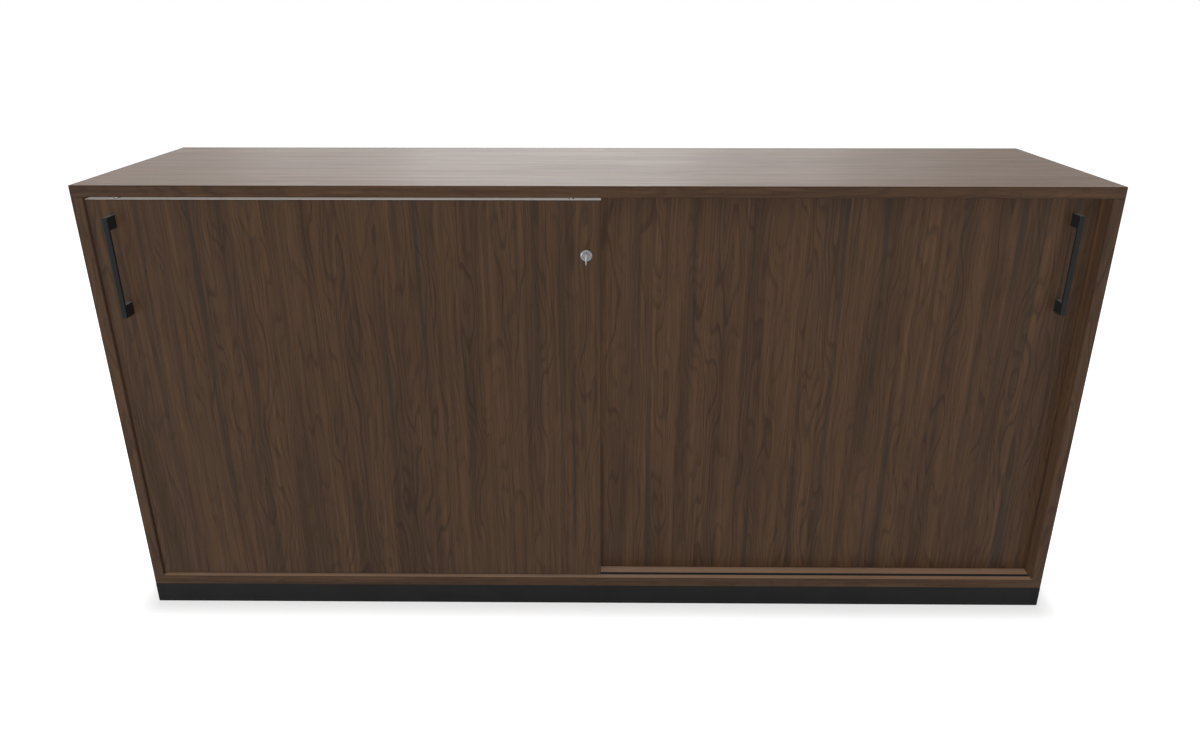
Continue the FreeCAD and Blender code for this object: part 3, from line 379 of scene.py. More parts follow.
@dataclass(frozen=True)
class Walnut:
    """Walnut-look laminate on a board, with edging on its arrises."""

    pale: Colour = srgb(90, 66, 48)
    middle: Colour = srgb(70, 51, 37)
    dark: Colour = srgb(52, 38, 29)
    streak: Colour = srgb(49, 42, 37)
    edging: Colour = srgb(70, 52, 40)
    joint: Colour = srgb(34, 25, 20)
    # The painted sheen's colour, painted on upward faces for the light they catch.
    painted_sheen: Colour = srgb(206, 166, 134)
    # A painted highlight on a door's upper edge: its pale colour, and how far down the front it reaches.
    painted_highlight_colour: Colour = srgb(242, 234, 227)
    painted_highlight_band: float = 0.0005
    figure_share: float = 0.95
    streak_share: float = 0.75
    pore_share: float = 0.5
    strip_share: float = 0.5
    joint_share: float = 0.6
    fibre_shade: tuple[float, float] = (1.1, 0.92)
    roughness: tuple[float, float] = (0.4, 0.46)
    shine: float = 0.12

    def material(self, node: str, board: Board) -> bpy.types.Material:
        """Makes the finish for one board.

        Args:
            node: the board's node, for its name and its edges.
            board: how it is cut and finished.

        Returns:
            The material.
        """
        w, material, shader, place = new_material(node + "_walnut")
        along = self.along_grain(w, place, board)
        wood = w.add("Group", {"Vector": along, "Ring Width": board.ring}, node_tree=GROUPS.grain).outputs
        colour = w.blend(wood["Fibre"], self.pale, self.middle)
        colour = w.tint(colour, wood["Figure"], self.figure_share, self.dark)
        colour = w.tint(colour, wood["Streak"], self.streak_share, self.streak)
        light, dark = (shade * board.tone for shade in self.fibre_shade)
        colour = w.scaled(colour, w.span(wood["Fibre"], 0.0, 1.0, light, dark))
        colour = w.tint(colour, wood["Pores"], self.pore_share, self.joint)
        low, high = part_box(node)
        corners = {"Vector": place, "Low": tuple(low), "High": tuple(high)}
        edges = w.add("Group", corners, node_tree=GROUPS.edges).outputs
        colour = w.tint(colour, edges["Strip"], self.strip_share, self.edging)
        colour = w.tint(colour, edges["Joint"], self.joint_share, self.joint)
        # A painted highlight: a pale colour painted on the board's upper edge, for the light its top face
        # catches.
        if board.painted_top_highlight:
            level = w.add("SeparateXYZ", {0: place}).outputs["Z"]
            colour = w.blend(w.sum("GREATER_THAN", level, high.z - self.painted_highlight_band), colour, self.painted_highlight_colour)
        # A painted sheen: a pale warm colour painted on upward faces, for the light they catch.
        if board.painted_sheen:
            sockets = {"Vector": place, "Sheen Stops At": board.sheen_stops_at}
            upward_sheen = w.add("Group", sockets, node_tree=GROUPS.painted_sheen).outputs
            colour = w.tint(colour, upward_sheen["Mask"], board.painted_sheen, self.painted_sheen)
        height = w.sum("SUBTRACT", wood["Fibre"], wood["Pores"])
        bump = w.add("Bump", {"Height": height, "Strength": 0.25, "Distance": 0.0001})
        rough = w.span(wood["Fibre"], 0.2, 0.8, *self.roughness)
        w.feed(shader, {"Base Color": colour, "Roughness": rough, "Normal": bump.outputs[0],
                        "Specular IOR Level": self.shine})
        return material

    def along_grain(self, w: Wiring, place: Socket, board: Board) -> Socket:
        """Turns the wood so that its grain runs along the board, and its rings show on the board's ends.

        Args:
            w: the wiring of the material.
            place: the place on the surface.
            board: how the board is cut.

        Returns:
            The place in the wood.
        """
        face_turn, end_turn, axis = board.grain.value
        face, end = (w.add("Mapping", {"Vector": place, "Location": board.shift,
                                       "Rotation": tuple(map(radians, turn))}).outputs[0]
                     for turn in (face_turn, end_turn))
        normal = w.add("SeparateXYZ", {0: w.add("NewGeometry").outputs["True Normal"]}).outputs
        on_end = w.sum("GREATER_THAN", w.sum("ABSOLUTE", normal[axis]), 0.7)
        return w.add("Mix", {0: on_end, 4: face, 5: end}, data_type="VECTOR").outputs[1]


@dataclass(frozen=True)
class Coating:
    """A plain surface with the fine texture of its making: laminate, powder coat, paint, plastic or metal."""

    slot: str
    colour: Colour
    patch: Colour
    worn: Colour
    roughness: float = 0.5
    shine: float = 0.4
    texture: float = 1800.0
    depth: float = 0.00003
    wear: float = 0.3
    radius: float = 0.0006
    metal: float = 0.0
    # A share of painted sheen on upward faces, and its colour.
    painted_sheen: float = 0.0
    painted_sheen_colour: Colour = srgb(196, 190, 184)
    speck_share: float = 0.12
    rough_spread: float = 0.08

    def material(self, name: str) -> bpy.types.Material:
        """Makes the finish.

        Args:
            name: the material's name.

        Returns:
            The material.
        """
        w, material, shader, place = new_material(name)
        fine = w.add("Group", {"Vector": place, "Texture": self.texture}, node_tree=GROUPS.fine).outputs
        worn = w.add("Group", {"Vector": place, "Radius": self.radius}, node_tree=GROUPS.worn).outputs
        patches = w.span(fine["Patches"], 0.3, 0.7)
        colour = w.blend(patches, self.colour, self.patch)
        colour = w.tint(colour, fine["Specks"], self.speck_share, self.worn)
        colour = w.tint(colour, worn["Mask"], self.wear, self.worn)
        # A painted sheen: a pale colour painted on upward faces, for the light they catch.
        if self.painted_sheen:
            upward_sheen = w.add("Group", {"Vector": place}, node_tree=GROUPS.painted_sheen).outputs
            colour = w.tint(colour, upward_sheen["Mask"], self.painted_sheen, self.painted_sheen_colour)
        rough = w.sum("MULTIPLY_ADD", patches, self.rough_spread, self.roughness - self.rough_spread / 2)
        bump = w.add("Bump", {"Height": fine["Height"], "Strength": 0.6, "Distance": self.depth})
        w.feed(shader, {"Base Color": colour, "Roughness": rough, "Normal": bump.outputs[0],
                        "Specular IOR Level": self.shine, "Metallic": self.metal})
        return material


class Finish(Enum):
    """The finishes of the smaller pieces."""

    PLINTH = Coating("black_board", grey(30), grey(27), grey(60), 0.5, 0.1, 1400.0)
    # The handles' coat has a painted sheen on its upward faces.
    POWDER = Coating("black_metal", srgb(25, 26, 27), srgb(22, 23, 24), grey(60), 0.48, 0.14, 2600.0,
                     depth=0.00004, wear=0.25, radius=0.0005, painted_sheen=0.22)
    TRACK = Coating("black_track", srgb(38, 40, 43), srgb(32, 34, 36), grey(80), 0.45, 0.4)
    MOULDED = Coating("black_plastic", srgb(33, 33, 34), grey(28), grey(64), 0.55, 0.35, 2200.0)
    BROWN = Coating("brown_plastic", srgb(78, 58, 46), srgb(70, 52, 41), srgb(104, 84, 70), 0.5, 0.35, 2200.0)
    NYLON = Coating("nylon", srgb(226, 222, 212), srgb(214, 209, 198), srgb(238, 236, 230), 0.4, 0.5, 1500.0)
    NICKEL = Coating("lock_metal", srgb(138, 138, 139), srgb(128, 128, 129), grey(180), 0.36, 0.5, 900.0,
                     depth=0.00001, wear=0.5, radius=0.0004, metal=0.55)
    ZINC = Coating("cast_zinc", srgb(170, 172, 172), srgb(148, 150, 150), srgb(196, 198, 198), 0.42, 0.5,
                   1400.0, depth=0.00004, wear=0.4, radius=0.0004, metal=1.0)
    PLATED = Coating("plated_steel", srgb(190, 190, 188), srgb(172, 172, 168), srgb(214, 214, 212), 0.26, 0.5,
                     1200.0, depth=0.00001, wear=0.4, radius=0.0003, metal=1.0)
    KEY_STEEL = Coating("key_steel", grey(168), grey(156), grey(196), 0.4, 0.5, 1200.0,
                        depth=0.00001, wear=0.5, radius=0.0004, metal=0.6)
    SPRING = Coating("spring_steel", grey(150), grey(128), grey(190), 0.3, 0.5, 1600.0,
                     depth=0.00001, wear=0.2, radius=0.0002, metal=1.0)


PLINTH_END = replace(Finish.PLINTH.value, colour=grey(26), patch=grey(24))
FINISHES = {finish.value.slot: finish.value.material(finish.value.slot + "_finish") for finish in Finish}


def dress(node: str, material: bpy.types.Material) -> None:
    """Puts a finish on a CAD node."""
    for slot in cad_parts[node].material_slots:
        slot.material = material


class Bench:
    """Shapes new pieces by hand, each with its axis along Z at the origin until it is placed."""

    def clear(self) -> None:
        """Leaves edit mode with nothing selected."""
        if bpy.context.mode != "OBJECT":
            bpy.ops.object.mode_set(mode="OBJECT")
        bpy.ops.object.select_all(action="DESELECT")

    def hold(self, piece: Piece) -> None:
        """Selects one piece and nothing else.

        Args:
            piece: the piece.
        """
        self.clear()
        piece.select_set(True)
        bpy.context.view_layer.objects.active = piece

    def settle(self) -> None:
        """Takes the held piece's place, turn and scale into its mesh."""
        bpy.ops.object.transform_apply(location=True, rotation=True, scale=True)

    def started(self, name: str) -> Piece:
        """Names the primitive that was just added, and takes its place into its mesh.

        Args:
            name: the piece's name.

        Returns:
            The piece.
        """
        piece = bpy.context.object
        piece.name = name
        self.settle()
        return piece

    def select_all(self) -> None:
        """Opens the held piece in edit mode with all of it selected."""
        if bpy.context.mode != "EDIT_MESH":
            bpy.ops.object.mode_set(mode="EDIT")
        bpy.ops.mesh.select_all(action="SELECT")

    def turned(self, name: str, stations: tuple, sides: int = 48, soft: float = 0.2) -> Piece:
        """Turns a piece as on a lathe, from its bottom face up and over to its last face.

        Args:
            name: the piece's name.
            stations: the radius and the height of each ring, in millimetres.
            sides: how many sides its round has.
            soft: the rounding of its edges, in millimetres.

        Returns:
            The piece.
        """
        self.clear()
        radius, height = stations[0]
        bpy.ops.mesh.primitive_circle_add(vertices=sides, radius=radius * MM, fill_type="NGON",
                                          location=(0, 0, height * MM))
        piece = self.started(name)
        self.select_all()
        for (before, low), (after, high) in zip(stations, stations[1:]):
            bpy.ops.mesh.extrude_region_move(TRANSFORM_OT_translate={"value": (0, 0, (high - low) * MM)})
            share = after / before
            bpy.ops.transform.resize(value=(share, share, 1), center_override=(0, 0, high * MM))
        self.select_all()
        bpy.ops.mesh.normals_make_consistent(inside=False)
        self.soften(piece, soft)
        return piece

    def slab(self, name: str, low: Triple, high: Triple, soft: float = 0.2) -> Piece:
        """Cuts a flat-sided piece to size.

        Args:
            name: the piece's name.
            low: its lowest corner, in millimetres.
            high: its highest corner, in millimetres.
            soft: the rounding of its edges, in millimetres.

        Returns:
            The piece.
        """
        self.clear()
        middle = [(a + b) / 2 * MM for a, b in zip(low, high)]
        size = [(b - a) * MM for a, b in zip(low, high)]
        bpy.ops.mesh.primitive_cube_add(size=1.0, location=middle, scale=size)
        piece = self.started(name)
        self.soften(piece, soft)
        return piece

    def helix(self, name: str, outline: int, wire: float, radius: float, start: float, pitch: float,
              turns: int, steps: int) -> Piece:
        """Winds a wire, or the ridge of a thread, round the Z axis.

        Args:
            name: the piece's name.
            outline: how many sides its section has.
            wire: the section's radius, in millimetres.
            radius: the section's distance from the axis, in millimetres.
            start: the height of its lower end, in millimetres.
            pitch: the rise of a turn, in millimetres.
            turns: the number of turns.
            steps: the sides of a turn.

        Returns:
            The piece.
        """
        self.clear()
        bpy.ops.mesh.primitive_circle_add(vertices=outline, radius=wire * MM, rotation=(pi / 2, 0, 0),
                                          location=(radius * MM, 0, start * MM))
        piece = self.started(name)
        winding = piece.modifiers.new("winding", "SCREW")
        winding.screw_offset, winding.iterations = pitch * MM, turns
        winding.steps = winding.render_steps = steps
        bpy.ops.object.modifier_apply(modifier=winding.name)
        self.select_all()
        bpy.ops.mesh.remove_doubles(threshold=1e-6)
        bpy.ops.mesh.fill_holes(sides=outline)
        self.select_all()
        bpy.ops.mesh.normals_make_consistent(inside=False)
        self.soften(piece, 0.0)
        return piece

    def soften(self, piece: Piece, soft: float) -> None:
        """Rounds a piece's edges and shades it smooth between them.

        Args:
            piece: the piece.
            soft: the rounding, in millimetres.
        """
        self.hold(piece)
        if soft:
            bevel = piece.modifiers.new("rounding", "BEVEL")
            bevel.width, bevel.segments = soft * MM, 2
            bevel.limit_method, bevel.angle_limit = "ANGLE", SMOOTH_ANGLE
            bpy.ops.object.modifier_apply(modifier=bevel.name)
        bpy.ops.object.shade_smooth_by_angle(angle=SMOOTH_ANGLE)

    def combine(self, piece: Piece, other: Piece, way: str) -> Piece:
        """Works one solid on another.

        Args:
            piece: the piece.
            other: the piece that is used up.
            way: DIFFERENCE to cut it out, or UNION to make one solid of both.

        Returns:
            The piece.
        """
        self.hold(piece)
        work = piece.modifiers.new("work", "BOOLEAN")
        work.operation, work.object, work.solver = way, other, "EXACT"
        bpy.ops.object.modifier_apply(modifier=work.name)
        bpy.data.objects.remove(other)
        bpy.ops.object.shade_smooth_by_angle(angle=SMOOTH_ANGLE)
        return piece

    def cut(self, piece: Piece, cutter: Piece) -> Piece:
        """Takes the cutter's shape out of a piece, and uses the cutter up."""
        return self.combine(piece, cutter, "DIFFERENCE")

    def bore(self, piece: Piece, radius: float, low: float, high: float, sides: int) -> Piece:
        """Bores a round hole along a piece's axis, from low to high."""
        return self.cut(piece, self.turned("drill", ((radius, low), (radius, high)), sides, 0.0))

    def cross(self, piece: Piece, top: float, length: float, width: float, depth: float) -> Piece:
        """Cuts a cross recess for a driver into a piece's top face, narrower at its foot.

        Args:
            piece: the piece.
            top: the height of the face, in millimetres.
            length: the length of each arm's slot, in millimetres.
            width: its width, in millimetres.
            depth: its depth, in millimetres.

        Returns:
            The piece.
        """
        taper = 0.62
        for x, y in ((length, width), (width, length)):
            cutter = self.slab("driver", (-x / 2, -y / 2, top - depth), (x / 2, y / 2, top + 1), 0.0)
            bpy.ops.object.mode_set(mode="EDIT")
            bpy.ops.mesh.select_mode(type="FACE")
            bpy.ops.mesh.select_all(action="DESELECT")
            bpy.ops.object.mode_set(mode="OBJECT")
            for face in cutter.data.polygons:
                face.select = face.normal.z < -0.9
            bpy.ops.object.mode_set(mode="EDIT")
            bpy.ops.transform.resize(value=(taper, taper, 1), center_override=(0, 0, (top - depth) * MM))
            bpy.ops.object.mode_set(mode="OBJECT")
            self.cut(piece, cutter)
        return piece

    def place(self, piece: Piece, at: Triple, turn: Triple = UPRIGHT) -> Piece:
        """Turns a piece and sets it in its place, which is then in its mesh.

        Args:
            piece: the piece.
            at: where its origin goes, in millimetres.
            turn: its turn about each axis, in degrees.

        Returns:
            The piece.
        """
        self.hold(piece)
        piece.rotation_euler = tuple(map(radians, turn))
        piece.location = [c * MM for c in at]
        self.settle()
        return piece

    def copies(self, model: Piece, places: dict[str, tuple[Triple, Triple]]) -> list[Piece]:
        """Copies a piece to several places, each copy with its own mesh, and takes the model away.

        Args:
            model: the piece.
            places: for each copy's name, where its origin goes and its turn.

        Returns:
            The copies.
        """
        made = []
        for name, (at, turn) in places.items():
            copy = model.copy()
            copy.data, copy.name = model.data.copy(), name
            bpy.context.collection.objects.link(copy)
            made.append(self.place(copy, at, turn))
        bpy.data.objects.remove(model)
        return made

    def joined(self, name: str, pieces: list[Piece]) -> Piece:
        """Makes one object of several pieces.

        Args:
            name: its name.
            pieces: the pieces.

        Returns:
            The object.
        """
        self.hold(pieces[0])
        for piece in pieces[1:]:
            piece.select_set(True)
        bpy.ops.object.join()
        pieces[0].name = name
        return pieces[0]

    def fit(self, piece: Piece, finish: Finish, body: str, *nodes: str) -> None:
        """Dresses a finished piece, fixes it to its body and lets it stand for its nodes.

        Args:
            piece: the piece.
            finish: its finish.
            body: the body that carries it.
            nodes: the nodes that it stands for.
        """
        slot = finish.value.slot
        piece.data.materials.clear()
        piece.data.materials.append(FINISHES[slot])
        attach(piece, body)
        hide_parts(*nodes)
        LOG.info("piece %s", piece.name)

    def fit_set(self, model: Piece, name: str, places: dict, finish: Finish, body: str, node: str) -> None:
        """Copies a piece to its places, joins the copies under one name, and fits them as one object."""
        self.fit(self.joined(name, self.copies(model, places)), finish, body, node)


BENCH = Bench()


@dataclass(frozen=True)
class Lamp:
    """A soft lamp: where it hangs, where it points, its screen's width and height, and its power in watts."""

    name: str
    place: Triple
    target: Triple
    width: float
    height: float
    power: float

    def hang(self) -> None:
        """Hangs the lamp. It casts no shadow, so that recesses stay as light as the faces around them."""
        bpy.ops.object.light_add(type="AREA", location=self.place)
        lamp = bpy.context.object
        lamp.name = self.name
        lamp.data.shape, lamp.data.energy = "RECTANGLE", self.power
        lamp.data.size, lamp.data.size_y = self.width, self.height
        lamp.visible_camera = lamp.data.use_shadow = False
        lamp.rotation_euler = (Vector(self.target) - Vector(self.place)).to_track_quat("-Z", "Y").to_euler()


@dataclass
class Studio:
    """A plain pale floor, soft lamps, and the camera."""

    camera_place: Triple = (0.01884, -1.5602, 1.0066)
    camera_turn: Triple = (67.91, 0.0, 0.509)
    lens: float = 26.943
    daylight: float = 0.26
    floor_size: float = 600.0
    footprint: Triple = (0.79, 0.20, 1.0)
    shadow_fade: tuple[float, float, float, float] = (0.0, 0.09, 0.33, 0.84)
    lamps: tuple[Lamp, ...] = (
        Lamp("overhead_lamp", (-0.3, -1.7, 2.9), (0.0, -0.2, 0.4), 2.4, 2.4, 22.0),
        Lamp("front_lamp", (0.3, -3.3, 1.0), (0.1, 0.0, 0.35), 2.6, 1.9, 8.5),
        Lamp("left_lamp", (-6.5, -2.3, 1.2), (0.2, -0.2, 0.4), 4.0, 3.0, 270.0),
        Lamp("right_lamp", (3.4, -1.7, 0.9), (0.3, -0.2, 0.4), 2.2, 1.7, 28.0),
        Lamp("narrow_back_lamp", (-0.25, 2.7, 1.55), (-0.05, 0.0, 0.7), 1.4, 1.8, 7.6),
        Lamp("middle_back_lamp", (-0.27, 2.72, 1.55), (-0.05, 0.0, 0.7), 2.9, 1.8, 12.4),
        Lamp("wide_back_lamp", (-0.4, 2.74, 1.55), (-0.05, 0.0, 0.7), 4.3, 1.8, 12.6),
    )

    def build(self) -> None:
        """Makes the camera, the floor, the world and the lamps."""
        scene = bpy.context.scene
        scene.view_settings.view_transform = "Standard"
        bpy.ops.object.camera_add(location=self.camera_place, rotation=tuple(map(radians, self.camera_turn)))
        camera = bpy.context.object
        camera.name = "camera"
        camera.data.lens, camera.data.sensor_width = self.lens, 36.0
        scene.camera = camera
        self.floor()
        self.world()
        for lamp in self.lamps:
            lamp.hang()

    def seen(self, w: Wiring) -> Socket:
        """How far a surface is looked at, straight or in a mirror or through glass, and not as a light.

        Args:
            w: the wiring of its material.

        Returns:
            1 where it is looked at, and otherwise 0.
        """
        path = w.add("LightPath").outputs
        seen = w.sum("MAXIMUM", path["Is Camera Ray"], path["Is Glossy Ray"])
        return w.sum("MAXIMUM", seen, path["Is Transmission Ray"])

    def floor(self) -> None:
        """Lays the floor, which glows where it is looked at, and less near the cabinet: a painted shadow
        round its footprint.
        """
        bpy.ops.mesh.primitive_plane_add(size=self.floor_size, location=ORIGIN)
        floor = bpy.context.object
        floor.name = "floor"
        w, material, shader, place = new_material("floor_paper")
        tone = w.span(w.stretched(place, (3.0, 3.0, 3.0), detail=2.0), 0.3, 0.7)
        w.feed(shader, {"Base Color": w.blend(tone, grey(228), grey(225)), "Roughness": 0.9,
                        "Specular IOR Level": 0.0})
        # The glow fades towards the footprint, which paints a soft shadow round the cabinet.
        away = w.vector("SUBTRACT", w.vector("ABSOLUTE", place), self.footprint)
        away = w.vector("LENGTH", w.vector("MAXIMUM", away, ORIGIN), output="Value")
        strength = w.sum("MULTIPLY", self.seen(w), w.span(away, *self.shadow_fade))
        glow = w.add("Emission", {"Strength": strength})
        both = w.add("AddShader", {0: shader.outputs[0], 1: glow.outputs[0]})
        end = next(node for node in w.tree.nodes if node.type == "OUTPUT_MATERIAL")
        w.feed(end, {"Surface": both.outputs[0]})
        floor.data.materials.append(material)

    def world(self) -> None:
        """Lights the room evenly, and shows white where it is looked at."""
        world = bpy.data.worlds.new("room")
        bpy.context.scene.world = world
        world.use_nodes = True
        w = Wiring(world.node_tree)
        strength = w.sum("MULTIPLY_ADD", self.seen(w), 1.0 - self.daylight, self.daylight)
        room = w.add("Background", {"Color": (1.0, 1.0, 1.0, 1.0), "Strength": strength})
        w.add("OutputWorld", {"Surface": room.outputs[0]})


@dataclass
class Carcass:
    """The boards of the cabinet, its shelf pins and the fittings that hold its top."""

    inner_face: float = 782.0
    partition_face: float = 9.0
    pin_level: float = 385.0
    pin_rows: tuple = (("front", -110.0), ("back", 130.0))
    fitting_level: float = 715.0
    fitting_rows: tuple = (("front", -125.0), ("back", 130.0))
    pin_stem: tuple = ((2.3, -7.8), (2.45, -7.4), (2.45, -0.1), (3.4, -0.1), (3.4, 1.0), (2.2, 1.0),
                       (2.2, 1.3))
    fitting_drum: tuple = ((7.3, -12.4), (7.5, -12.0), (7.5, -0.3), (7.2, 0.0), (6.0, 0.0), (5.6, -0.7))
    # The top, bottom and shelves have a painted sheen on their upward faces, the bottom's only in front of
    # the rear door.
    boards: dict[str, Board] = field(default_factory=lambda: {
        "top_panel": Board(Grain.LENGTHWISE, (0.31, 0.9, 0.2), ring=0.012, painted_sheen=0.2),
        "bottom_panel": Board(Grain.LENGTHWISE, (1.35, 0.2, 0.7), 0.92, painted_sheen=0.4, sheen_stops_at=-0.165),
        "left_side_panel": Board(Grain.UPRIGHT_SIDE, (0.6, 1.7, 0.4), ring=0.008),
        "right_side_panel": Board(Grain.UPRIGHT_SIDE, (2.1, 0.4, 1.9), ring=0.0085),
        "centre_partition": Board(Grain.UPRIGHT_SIDE, (3.4, 2.6, 0.8), ring=0.008),
        "back_panel": Board(Grain.UPRIGHT_FRONT, (4.2, 3.1, 2.2)),
        "left_shelf": Board(Grain.LENGTHWISE, (5.5, 1.1, 3.3), painted_sheen=0.05),
        "right_shelf": Board(Grain.LENGTHWISE, (6.7, 2.3, 4.4), painted_sheen=0.05),
    })

    def build(self, walnut: Walnut) -> None:
        """Finishes each board and makes the pins and fittings.

        Args:
            walnut: the laminate.
        """
        for node, board in self.boards.items():
            dress(node, walnut.material(node, board))
            LOG.info("board %s", node)
        self.shelf_pins()
        self.cam_fittings()

    def shelf_pins(self) -> None:
        """Makes the pins under the shelves: a stem in its hole, a collar, and a lug with a rounded nose."""
        stem = BENCH.turned("pin_stem", self.pin_stem, 24, 0.15)
        lug = BENCH.slab("pin_lug", (-1.5, -4.0, 0.6), (1.5, 4.0, 9.0), 0.45)
        walls = ((-self.inner_face, SIDEWAYS_RIGHT), (-self.partition_face, SIDEWAYS_LEFT),
                 (self.partition_face, SIDEWAYS_RIGHT), (self.inner_face, SIDEWAYS_LEFT))
        places = {f"{row}_shelf_pin_{number}": ((x, y, self.pin_level), turn)
                  for number, (x, turn) in enumerate(walls, 1) for row, y in self.pin_rows}
        pin = BENCH.joined("shelf_pin", [stem, lug])
        BENCH.fit_set(pin, "shelf_pin_set", places, Finish.PLATED, "carcass", "shelf_pins")

    def cam_fittings(self) -> None:
        """Makes the fittings that hold the top: a drum with a sunk face, a cross recess and a pointer."""
        drum = BENCH.turned("cam_fitting", self.fitting_drum, 40, 0.12)
        BENCH.cross(drum, self.fitting_drum[-1][1], 6.4, 1.6, 3.2)
        BENCH.cut(drum, BENCH.slab("pointer", (-7.0, -0.35, -0.5), (-5.2, 0.35, 1.0), 0.0))
        walls = (("left", -self.inner_face, SIDEWAYS_RIGHT), ("right", self.inner_face, SIDEWAYS_LEFT))
        places = {f"{row}_{side}_cam_fitting": ((x, y, self.fitting_level), turn)
                  for side, x, turn in walls for row, y in self.fitting_rows}
        BENCH.fit_set(drum, "cam_fitting_set", places, Finish.ZINC, "carcass", "cam_fittings")


@dataclass
class Feet:
    """The four levelling feet and the caps over them."""

    reach_x: float = 762.0
    reach_y: float = 120.0
    pitch: float = 1.25
    cap_level: float = 55.0
    grips: int = 6
    grip_ring: float = 8.7
    pad: tuple = ((14.2, 1.0), (15.0, 1.8), (15.0, 4.6), (13.8, 6.0), (9.0, 6.0), (8.0, 7.0), (8.0, 10.0),
                  (4.1, 10.0), (4.1, 3.2))
    stem: tuple = ((2.6, 3.1), (3.3, 3.8), (3.3, 34.2), (2.7, 35.0))
    cap: tuple = ((4.5, -6.0), (4.9, -5.4), (4.9, 0.0), (7.5, 0.0), (7.5, 0.5), (6.6, 1.2), (3.0, 1.2),
                  (2.6, 0.9))

    def build(self) -> None:
        """Makes the pads, the screws and the caps."""
        corners = {"front_left": (-self.reach_x, -self.reach_y), "front_right": (self.reach_x, -self.reach_y),
                   "back_left": (-self.reach_x, self.reach_y), "back_right": (self.reach_x, self.reach_y)}
        for part, model, finish in (("foot_pad", self.gripped_pad(), Finish.MOULDED),
                                    ("foot_screw", self.threaded_screw(), Finish.PLATED)):
            places = {f"{corner}_{part}_turned": ((x, y, 0), UPRIGHT) for corner, (x, y) in corners.items()}
            for piece in BENCH.copies(model, places):
                node = piece.name.removesuffix("_turned")
                BENCH.fit(piece, finish, node, node)
        cap = BENCH.turned("access_cap", self.cap, 48, 0.15)
        places = {corner + "_cap": ((x, y, self.cap_level), UPRIGHT) for corner, (x, y) in corners.items()}
        BENCH.fit_set(cap, "access_cap_set", places, Finish.BROWN, "carcass", "access_caps")

    def gripped_pad(self) -> Piece:
        """A round pad with a hub, and notches round the hub to turn it by.

        Returns:
            The pad.
        """
        pad = BENCH.turned("foot_pad", self.pad, 56, 0.25)
        for number in range(self.grips):
            angle = 2 * pi * number / self.grips
            notch = BENCH.turned("grip", ((1.1, 6.8), (1.1, 10.6)), 16, 0.0)
            BENCH.cut(pad, BENCH.place(notch, (self.grip_ring * cos(angle), self.grip_ring * sin(angle), 0)))
        return pad

    def threaded_screw(self) -> Piece:
        """A threaded stem with a slot for a driver in its top.

        Returns:
            The screw.
        """
        stem = BENCH.turned("foot_screw", self.stem, 40, 0.1)
        BENCH.cut(stem, BENCH.slab("slot", (-5.0, -0.6, 33.0), (5.0, 0.6, 36.0), 0.0))
        thread = BENCH.helix("foot_thread", 3, 0.78, 3.2, 4.4, self.pitch, 23, 28)
        return BENCH.joined("foot_screw", [stem, thread])


@dataclass
class Hardware:
    """The models of the small parts that both doors carry."""

    screw: tuple = ((1.7, -27.0), (2.0, -26.4), (2.0, 0.0), (4.0, 0.0), (4.0, 1.2), (3.3, 2.1), (1.6, 2.4))
    wheel_side: tuple = ((1.9, -4.2), (2.0, -4.0), (2.0, -2.0), (4.2, -2.0), (4.2, -1.5), (9.4, -1.5),
                         (9.4, -2.0), (11.5, -2.0), (12.0, -1.3))
    collar_height: float = 7.9

    def handle_screw(self) -> Piece:
        """A pan-head screw as seen from behind the door: its head is at the top, with a cross recess."""
        return BENCH.cross(BENCH.turned("handle_screw", self.screw, 40, 0.15), 2.4, 4.0, 0.9, 1.5)

    def wheel(self) -> Piece:
        """A moulded roller: a crowned tread, a sunk web on each side, and its stub axles."""
        other_side = ((radius, -height) for radius, height in reversed(self.wheel_side))
        return BENCH.turned("wheel", (*self.wheel_side, *other_side), 64, 0.12)

    def guide_pin(self) -> Piece:
        """A plunger with a collar and a domed tip.

        Returns:
            The pin.
        """
        low, high = (corner.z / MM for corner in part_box("front_left_guide_pin"))
        collar = low + self.collar_height
        stations = ((2.7, low), (3.0, low + 0.3), (3.0, collar), (2.2, collar), (2.2, high - 0.9),
                    (1.7, high - 0.25), (0.9, high))
        return BENCH.turned("guide_pin", stations, 36, 0.12)

    def guide_spring(self) -> Piece:
        """A coil spring, open all along."""
        return BENCH.helix("guide_spring", 10, 0.35, 2.3, 705.4, 2.5, 8, 32)


